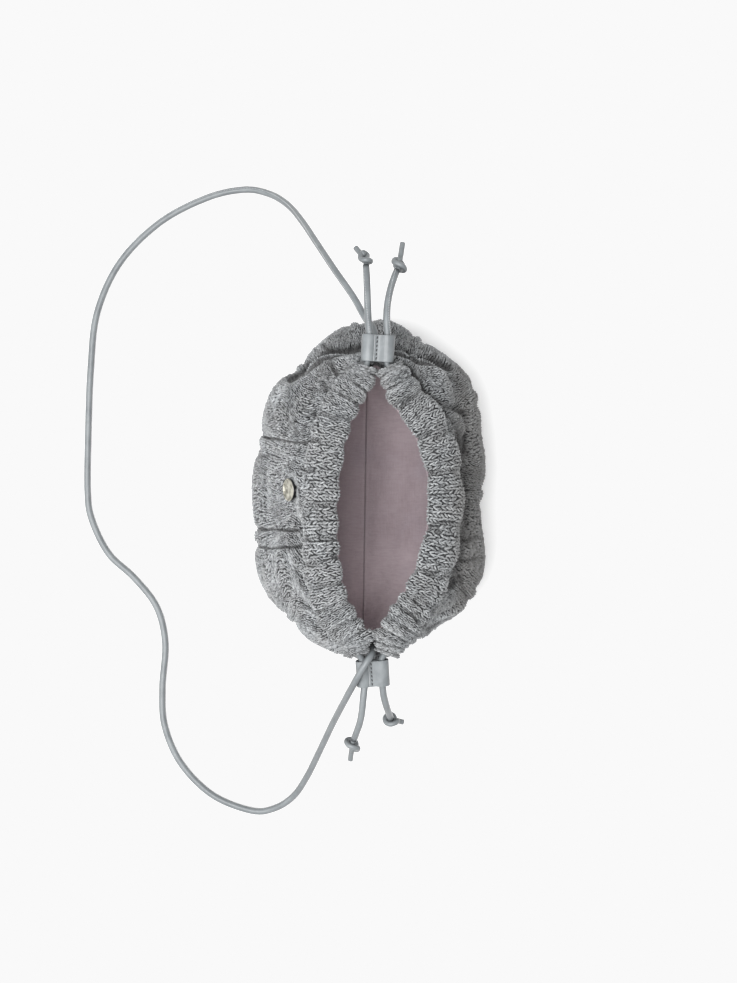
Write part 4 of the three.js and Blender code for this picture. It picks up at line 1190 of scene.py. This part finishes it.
def stitches(name, grid, closed, keep, share, seed, legs, hollow, pressed, *nodes):
    """Stitches on part of a grid of places. grid is wales by courses by xyz, and hollow is how far each place
    lies in a pleat, from 0 to 1, which gives its yarn painted shade; below 0 it gives a painted highlight."""
    if closed:
        across = (np.roll(grid, -1, 0) - np.roll(grid, 1, 0)) / 2
    else:
        across = np.gradient(grid, axis=0)
    grow = np.gradient(grid, axis=1)
    outward = unit(np.cross(across, grow))
    height = np.linalg.norm(grow, axis=-1)
    width = np.linalg.norm(np.cross(across, grow), axis=-1) / height
    thick = np.full(height.shape, STITCH_HALF_THICKNESS)
    loose = np.random.default_rng(seed).normal(0, 1, (4, *height.shape, 1))
    places = grid + outward * (STITCH_LIFT + LOOSE_LIFT * loose[0])
    places = places + across * LOOSE_ACROSS * loose[1] + grow * LOOSE_ALONG * loose[2]
    grow = grow + across * LOOSE_LEAN * loose[3]
    size = np.stack([width * 1.02, height * 1.05, thick], -1)
    first, last = share
    wales, courses = grid.shape[0], grid.shape[1]
    cell = np.stack(np.meshgrid(np.arange(wales), np.arange(courses), indexing="ij"), -1).astype(float)
    cell = np.concatenate([cell - (first, 0), hollow[..., None]], -1)
    chosen = keep.copy()
    chosen[:first] = False
    chosen[last:] = False
    attributes = {"outward": outward[chosen], "grow": grow[chosen], "cell_size": size[chosen],
                  "cell_place": cell[chosen]}
    values = {"Leg Width": legs[0], "Leg Length": legs[1], "Leg Apart": 0.245, "Lean": 0.24, "Seed": seed}
    piece = made_by_nodes(name, STITCH_GROUP, STITCH_SOCKETS, values, places[chosen], attributes, YARN)
    press_lines(piece, *pressed)
    lay_stitch_map(piece, last - first, courses)
    return standing_for(piece, "knit", *nodes)


def sweep(around, up):
    """How far the wales of a cable lean out of their line, as a share of the way round"""
    inside = np.clip(1 - (panel_place(around) / RIB_EDGE) ** 2, 0, 1)
    lean = CABLE_SWEEP / PANELS * np.sin(cable_turn(up)) * inside ** 2
    return lean * smooth_step(up / 0.8) * smooth_step((NECK_LEVEL - up) / 0.5)


def wall_grid():
    """Place of each stitch of the wall, in courses of even height up every wale"""
    around = ((np.arange(WALES) + 0.5) / WALES)[:, None]
    levels = np.linspace(0, NECK_LEVEL, 141)
    line = wall_at(*np.broadcast_arrays(around, levels[None, :]), 0.0)
    lengths = run_lengths(line, 1)
    ups = np.empty((WALES, COURSES))
    for k in range(WALES):
        foot = np.interp(0.0016, line[k, :40, 2], lengths[k, :40])
        ups[k] = np.interp(np.linspace(foot, lengths[k, -1] - 0.0008, COURSES), lengths[k], levels)
    shifted = around + sweep(around, ups)
    return wall_at(shifted, ups, 0.0), ups


def make_wall_stitches():
    grid, ups = wall_grid()
    keep = np.ones(ups.shape, bool)
    for around, up in EYELETS.values():
        apart = np.linalg.norm(grid - smooth_wall(around, up), axis=-1)
        keep &= apart > EYELET_FLANGE_RADIUS * 0.92
    keep &= np.linalg.norm(grid - medallion_place, axis=-1) > MEDALLION_RADIUS * 0.8
    around = np.broadcast_to(((np.arange(WALES) + 0.5) / WALES)[:, None], ups.shape)
    # How far each stitch lies in a neck pleat, which gives its yarn painted shade
    hollow = np.where(around < 0.5, 1 - gathers("front", 2 * around, np.zeros(ups.shape)),
                      1 - gathers("back", 2 - 2 * around, np.zeros(ups.shape)))
    hollow = hollow * smooth_step((ups - 3.9) / 0.9)
    cuts = np.linspace(0, WALES, 5).astype(int)
    for k in range(4):
        stitches(f"knit_stitches_{k + 1}", grid, True, keep, (cuts[k], cuts[k + 1]), 11 + k, WALL_LEG,
                 hollow, (WALL_LINES, line_share, WALL_PLEAT_SHADE), "knit_body")


make_shell()
make_wall_stitches()


# Casings: gathered tubes with the same knit over them

def casing_surface(side, share, turn, lift=0.0):
    """The gathered outside of a casing, at shares along it and turns round it from its outer edge over its top"""
    share, turn = np.broadcast_arrays(np.asarray(share, float), np.asarray(turn, float))
    place = share * LAST_SECTION
    centre, outward, tilt, half_width = casing_frame(side, place)
    puff = gathers(side, share, turn)
    small = 0.5 + 0.25 * np.sin(2 * math.pi * share * 31) + 0.25 * np.sin(2 * math.pi * share * 47 + 1)
    upper = np.clip(np.sin(turn) + 0.45, 0, 1)
    sunk = (PLEAT_DEPTH[side] * (1 - puff) + 0.0004 * small - PUFF_RISE * puff ** 2) * upper - lift
    meet = sum(bulge * hump(share - at, spread) for at, spread, bulge in MEETINGS)
    edge = hump(turn - math.pi, 0.75) * (0.003 * (1 - puff) - 0.0008 * puff - meet)
    if side == "back":
        outer = (turn + math.pi) % (2 * math.pi) - math.pi
        edge = edge - hump(outer, 0.6) * (0.0022 * (1 - puff) - 0.0005 * puff)
    return casing_point(centre, outward, tilt, (half_width - sunk) * np.cos(turn) + edge,
                        (CASING_THICKNESS / 2 - sunk) * np.sin(turn))


def channel_surface(side, share, turn):
    """The inside of a casing, all the way round, at a share along it"""
    place = np.full(len(turn), share * LAST_SECTION)
    centre, outward, tilt, _ = casing_frame(side, place)
    middle, wide = channel(side, place)
    return casing_point(centre, outward, tilt, middle + wide * np.cos(turn),
                        CHANNEL_HALF_THICKNESS * np.sin(turn))


def make_casing(side):
    """A casing: an open tube in the shade of its stitches, and the stitches over its top and outer side"""
    turns = 2 * math.pi * np.arange(30) / 30
    rings = [casing_surface(side, share, turns, -SHELL_SINK) for share in np.linspace(0, 1, 181)]
    rings += [channel_surface(side, share, turns) for share in np.linspace(1, 0, 13)]
    points = np.concatenate(rings)
    count = len(points)
    faces = grid_faces(len(rings), 30)
    for i in range(30):
        faces.append((count - 30 + i, count - 30 + (i + 1) % 30, (i + 1) % 30, i))
    if side == "back":
        faces = [face[::-1] for face in faces]
    shell = new_object(f"{side}_casing_shell", points, faces, YARN_SHADE)
    standing_for(shell, "knit", f"{side}_casing")
    shares = ((np.arange(CASING_WALES) + 0.5) / CASING_WALES)[:, None]
    fine = np.linspace(-0.55, math.pi + 0.5, 90)
    line = casing_surface(side, shares, fine[None, :])
    lengths = run_lengths(line, 1)
    turn = np.empty((CASING_WALES, CASING_COURSES))
    for k in range(CASING_WALES):
        turn[k] = np.interp(np.linspace(0, lengths[k, -1], CASING_COURSES), lengths[k], fine)
    grid = casing_surface(side, shares, turn)
    # How far each stitch lies in a pleat, which gives its yarn painted shade
    hollow = 1 - gathers(side, np.broadcast_to(shares, turn.shape), turn)
    if side == "back":
        # Its outer edge gets a painted highlight as a pale rim, and its wales run the other way round
        hollow = hollow - 0.6 * hump(turn + 0.02, 0.11)
        grid, hollow = grid[::-1], hollow[::-1]
    keep = np.ones(turn.shape, bool)
    stitches(f"{side}_casing_stitches", grid, False, keep, (0, CASING_WALES), 31, CASING_LEG,
             hollow, (CASING_SLITS, lambda points: 1.0, CASING_PLEAT_SHADE), f"{side}_casing")


for side in ("front", "back"):
    make_casing(side)


# Lining: hangs from the casings' inner edges and meets in a seam along the bottom

LINING_COLUMNS = 144


def lining_wrinkle(around, up):
    turn = 2 * math.pi * np.asarray(around)
    folds = 0.0009 * (1 + np.sin(17 * turn + 2 * np.sin(3 * turn) + 0.7 * up))
    fine = 0.0004 * (1 + np.sin(43 * turn + 3 * np.sin(2 * turn) - 1.1 * up))
    return folds + fine


def lining_rings(depth):
    """Rings of one face of the lining, from its seam to the lip under the casings"""
    around = np.arange(LINING_COLUMNS) / LINING_COLUMNS
    level_rise = LEVELS[3] - LEVELS[2]
    rings = []

    def on_wall(level):
        calm = 1 - smooth_step((level - 4.6) / 0.4)
        inset = LINING_INSET + depth + lining_wrinkle(around, level) * calm
        return smooth_wall(around, level) - wall_normal(around, level) * inset[:, None]

    foot_level = LINING_FOOT + depth / level_rise
    lowered = in_notch(around)
    foot = on_wall(np.full(LINING_COLUMNS, foot_level))
    seam = np.stack([SEAM_MIDDLE[0] - SEAM_HALF_LENGTH * np.cos(2 * math.pi * around),
                     np.full(LINING_COLUMNS, SEAM_MIDDLE[1]),
                     np.full(LINING_COLUMNS, SEAM_HEIGHT + depth)], 1)
    for share in np.linspace(0, 1, 24)[:-1]:
        ring = seam + (foot - seam) * share
        middle = 4 * share * (1 - share)
        ring[:, 2] += 0.0016 * middle * np.sin(46 * ring[:, 0] + 5 * np.sin(30 * ring[:, 1]) + 3 * share)
        ring[:, 2] += 0.0007 * middle * np.sin(130 * ring[:, 0] - 90 * ring[:, 1] + 2 * np.sin(60 * ring[:, 1]))
        ring[:, 2] += 0.0006 * min(share * 8, 1)
        rings.append(ring)
    for share in np.linspace(0, 1, 24):
        rings.append(on_wall(foot_level + (NECK_LEVEL - NOTCH_LOWERED * lowered - foot_level) * share))
    for reach, steps in ((0.5, 0.5), (0.1, 1), (-0.18, 1.5), (-0.45, 2), (-0.63, 2.5), (-0.8, 3)):
        lip = both_sides(around, lambda side, place: under_casing(side, place, reach, LIP_CLEARANCE + depth))
        lip = through_notch(around, lip, LINING_INSET + depth + steps * LIP_STEP, -NOTCH_DROP - depth)
        rings.append(lip)
    return rings


def make_lining():
    rings = lining_rings(LINING_WALL) + lining_rings(0.0)[::-1]
    points = np.concatenate(rings)
    faces = grid_faces(len(rings), LINING_COLUMNS)
    # Columns that mirror each other across the seam share its points
    last = len(points) - LINING_COLUMNS
    shared = np.arange(len(points))
    for start in (0, last):
        for i in range(LINING_COLUMNS // 2 + 1, LINING_COLUMNS):
            shared[start + i] = start + LINING_COLUMNS - i
    welded = [tuple(dict.fromkeys(int(shared[i]) for i in face)) for face in faces]
    welded = [face for face in welded if len(face) > 2]
    used = sorted({i for face in welded for i in face})
    order = {old: new for new, old in enumerate(used)}
    faces = [tuple(order[i] for i in face)[::-1] for face in welded]
    lining = new_object("cotton_lining", points[used], faces, COTTON)
    return standing_for(lining, "lining_cloth", "lining")


make_lining()


# Sliders: leather wrapped round both cords, its flap sewn down between them

def slider_outline(half_wide, half_high, points):
    """Rounded figure of eight round both channels"""
    outline = []
    for lobe in (1, -1):
        for i in range(points + 1):
            turn = math.radians(160) * (2 * i / points - 1)
            outline.append((lobe * (SLIDER_SPREAD / 2 + half_wide * math.cos(turn)),
                            lobe * half_high * math.sin(turn)))
    return outline


def make_slider(end):
    centre, direction, sideways, upward = slider_frame(end)
    curve = bpy.data.curves.new(f"slider_{end}_outline", "CURVE")
    curve.dimensions = "2D"
    curve.fill_mode = "BOTH"
    curve.extrude = SLIDER_LENGTH / 2 - 0.0004
    curve.bevel_depth = 0.0004
    curve.bevel_resolution = 2
    wide, high = CHANNEL_HALF_WIDTH + LEATHER - 0.0004, CHANNEL_HALF_HEIGHT + LEATHER - 0.0004
    outlines = [slider_outline(wide, high, 22)]
    for lobe in (1, -1):
        outlines.append([
            (lobe * SLIDER_SPREAD / 2 + (CHANNEL_HALF_WIDTH + 0.0004) * math.cos(2 * math.pi * i / 28),
             (CHANNEL_HALF_HEIGHT + 0.0004) * math.sin(2 * math.pi * i / 28)) for i in range(28)])
    for outline in outlines:
        spline = curve.splines.new("POLY")
        spline.points.add(len(outline) - 1)
        for point, (x, y) in zip(spline.points, outline):
            point.co = (x, y, 0, 1)
        spline.use_cyclic_u = True
    holder = bpy.data.objects.new(f"slider_{end}_outline", curve)
    bpy.context.scene.collection.objects.link(holder)
    depsgraph = bpy.context.evaluated_depsgraph_get()
    mesh = bpy.data.meshes.new_from_object(holder.evaluated_get(depsgraph))
    bpy.data.objects.remove(holder)
    flat = np.array([v.co for v in mesh.vertices], float)
    # The leather swells a little at its middle and is drawn in at both ends
    swell = 1 + 0.035 * np.cos(math.pi * flat[:, 2] / SLIDER_LENGTH)
    put = centre + np.outer(flat[:, 0] * swell, sideways) + np.outer(flat[:, 1] * swell, upward)
    put = put + np.outer(flat[:, 2], direction)
    faces = [tuple(p.vertices) for p in mesh.polygons]
    band = new_object(f"leather_slider_{end}", put, faces, LEATHER_PAINT)
    bpy.data.meshes.remove(mesh)
    turned_out(band)
    standing_for(band, "leather", f"slider_{end}")
    make_flap(end, centre, direction, sideways, upward)


# The flap's upper face across the slider, in mm from its middle and from the crests of its channels, from the
# back channel to the free edge, and where its stitches lie and how long and thick they are
FLAP_PROFILE = [(7.4, 0.1), (6.2, 0.05), (5, -0.12), (3.8, -0.5), (2.6, -0.95), (1.4, -1.3), (0.2, -1.42),
                (-1, -1.3), (-2, -1.02), (-2.7, -0.78), (-2.95, -0.95)]
SEWN_AT = (-0.9, -1.2)
FLAP_LEATHER = 0.0009
FLAP_STITCHES = 6
FLAP_STITCH_LENGTH = 0.0022
FLAP_STITCH_RADIUS = 0.00048


def make_flap(end, centre, direction, sideways, upward):
    """The flap: it comes over from the back channel and its free edge is sewn down on the front one"""
    to_back = math.copysign(1, sideways[1])
    half_high = CHANNEL_HALF_HEIGHT + LEATHER
    top = np.array([(to_back * x * MM, y * MM + half_high) for x, y in FLAP_PROFILE])
    loop = np.concatenate([top, (top - (0, FLAP_LEATHER))[::-1]])
    rings = []
    for along in np.linspace(-0.485, 0.485, 13) * SLIDER_LENGTH:
        rings.append(centre + np.outer(loop[:, 0], sideways) + np.outer(loop[:, 1], upward) + direction * along)
    flap = closed_shell(f"slider_flap_{end}", rings, rings[0].mean(0), rings[-1].mean(0), LEATHER_PAINT,
                        smooth=False)
    # The faces along the flap's free edge get a painted highlight
    flap.data.materials.append(EDGE_HIGHLIGHT)
    for row in range(len(rings) - 1):
        for k in range(len(top) - 2, len(top) + 1):
            flap.data.polygons[row * len(loop) + k].material_index = 1
    turned_out(flap)
    standing_for(flap, "leather", f"slider_{end}")
    sewn = (to_back * SEWN_AT[0] * MM, SEWN_AT[1] * MM + half_high)
    points, faces = [], []
    for k in range(FLAP_STITCHES):
        along = ((k + 0.5) / FLAP_STITCHES - 0.5) * SLIDER_LENGTH * 0.92
        middle = centre + sideways * sewn[0] + upward * sewn[1] + direction * along
        way = unit(direction * 0.96 + sideways * to_back * 0.2)
        start = middle - way * FLAP_STITCH_LENGTH / 2
        side = unit(np.cross(way, upward))
        base = len(points)
        steps, sides = 7, 8
        for i in range(steps):
            share = i / (steps - 1)
            radius = FLAP_STITCH_RADIUS * math.sin(math.pi * (0.12 + 0.76 * share)) ** 0.5
            for j in range(sides):
                turn = 2 * math.pi * j / sides
                points.append(start + way * FLAP_STITCH_LENGTH * share + side * radius * math.cos(turn)
                              + upward * (radius * math.sin(turn) - 0.0003 * (2 * share - 1) ** 2))
        points += [start - way * 0.0001, start + way * (FLAP_STITCH_LENGTH + 0.0001)]
        faces += grid_faces(steps, sides, base)
        faces += fan_faces(sides, base, base + steps * sides)
        faces += fan_faces(sides, base + (steps - 1) * sides, base + steps * sides + 1, turned=True)
    thread = new_object(f"slider_thread_{end}", points, faces, THREAD)
    turned_out(thread)
    standing_for(thread, "leather", f"slider_{end}")


for end in ("left", "right"):
    make_slider(end)


# Medallion: a disc with a raised rim round a plain rosette

def make_medallion():
    axis = medallion_axis
    sideways = unit(np.cross((0, 0, 1), axis))
    upward = np.cross(axis, sideways)
    sides = 72
    turns = 2 * math.pi * np.arange(sides) / sides
    rim = MEDALLION_RADIUS - 0.0004
    profile = [(rim - 0.0004, 0.0), (rim - 0.0001, 0.0001), (rim, 0.0005), (rim, 0.0014), (rim - 0.0002, 0.0018),
               (rim - 0.0006, 0.00215), (rim - 0.0011, 0.0021), (rim - 0.0014, 0.0017), (rim - 0.0016, 0.0013)]
    rings = [[medallion_place + axis * height + reach * (np.cos(t) * sideways + np.sin(t) * upward)
              for t in turns] for reach, height in profile]
    inner = rim - 0.0016
    for share in np.linspace(0.97, 0.04, 22):
        petals = np.abs(np.cos(4 * turns)) ** 0.6
        leaf = hump(share - 0.52, 0.2) * (0.25 + 0.75 * petals)
        boss = 0.55 * hump(share, 0.16)
        beads = 0.35 * hump(share - 0.88, 0.05) * (0.5 + 0.5 * np.cos(24 * turns))
        heights = 0.001 + 0.00095 * (leaf + boss + beads)
        rings.append([medallion_place + axis * h + share * inner * (np.cos(t) * sideways + np.sin(t) * upward)
                      for t, h in zip(turns, heights)])
    disc = closed_shell("rosette_medallion", rings, medallion_place, medallion_place + axis * 0.0015, PALE_METAL)
    # The foot of its rim gets the dark plating as painted shade
    disc.data.materials.append(DARK_METAL)
    for k in range(4 * sides):
        disc.data.polygons[k].material_index = 1
    turned_out(disc)
    return standing_for(disc, "pale_metal", "medallion")


make_medallion()

for end in ("left", "right"):
    for node, paint in ((f"eyelet_{end}", DARK_METAL), (f"strap_stop_{end}", LEATHER_PAINT)):
        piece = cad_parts[node]
        piece.data.materials.clear()
        piece.data.materials.append(paint)


# Floor, light and picture

# Name, place, width and watts of each lamp, and the strength of the white room round them
LAMPS = [("key", (0.22, -0.48, 2.6), 1.7, 82), ("fill", (0.9, -2.3, 1.5), 1.8, 26)]
ROOM_LIGHT = 0.56
FLOOR_HALF_WIDTH = 12.0


def make_studio():
    floor_paint = Paint("floor", Roughness=0.95, Specular_IOR_Level=0.1, Base_Color=(0.93, 0.93, 0.93, 1),
                        Emission_Color=(1, 1, 1, 1), Emission_Strength=0.16)
    corners = [(x * FLOOR_HALF_WIDTH, y * FLOOR_HALF_WIDTH, 0) for x, y in ((-1, -1), (1, -1), (1, 1), (-1, 1))]
    floor = new_object("floor", corners, [(0, 1, 2, 3)], floor_paint.material, smooth=False)
    for name, place, width, power in LAMPS:
        lamp = bpy.data.lights.new(name, "AREA")
        lamp.shape = "SQUARE"
        lamp.size = width
        lamp.energy = power
        light = bpy.data.objects.new(name, lamp)
        light.location = place
        light.rotation_euler = (-Vector(place)).to_track_quat("-Z", "Y").to_euler()
        bpy.context.scene.collection.objects.link(light)
    world = bpy.data.worlds.new("studio")
    world.use_nodes = True
    room = world.node_tree.nodes["Background"]
    room.inputs["Color"].default_value = (1.0, 1.0, 1.0, 1)
    room.inputs["Strength"].default_value = ROOM_LIGHT
    bpy.context.scene.world = world
    view = bpy.context.scene.view_settings
    view.view_transform = "Standard"
    # The picture's white is just under full white
    view.use_curve_mapping = True
    curve = view.curve_mapping
    curve.curves[3].points[1].location = (1.0, PICTURE_WHITE)
    curve.extend = "HORIZONTAL"
    curve.update()


make_studio()
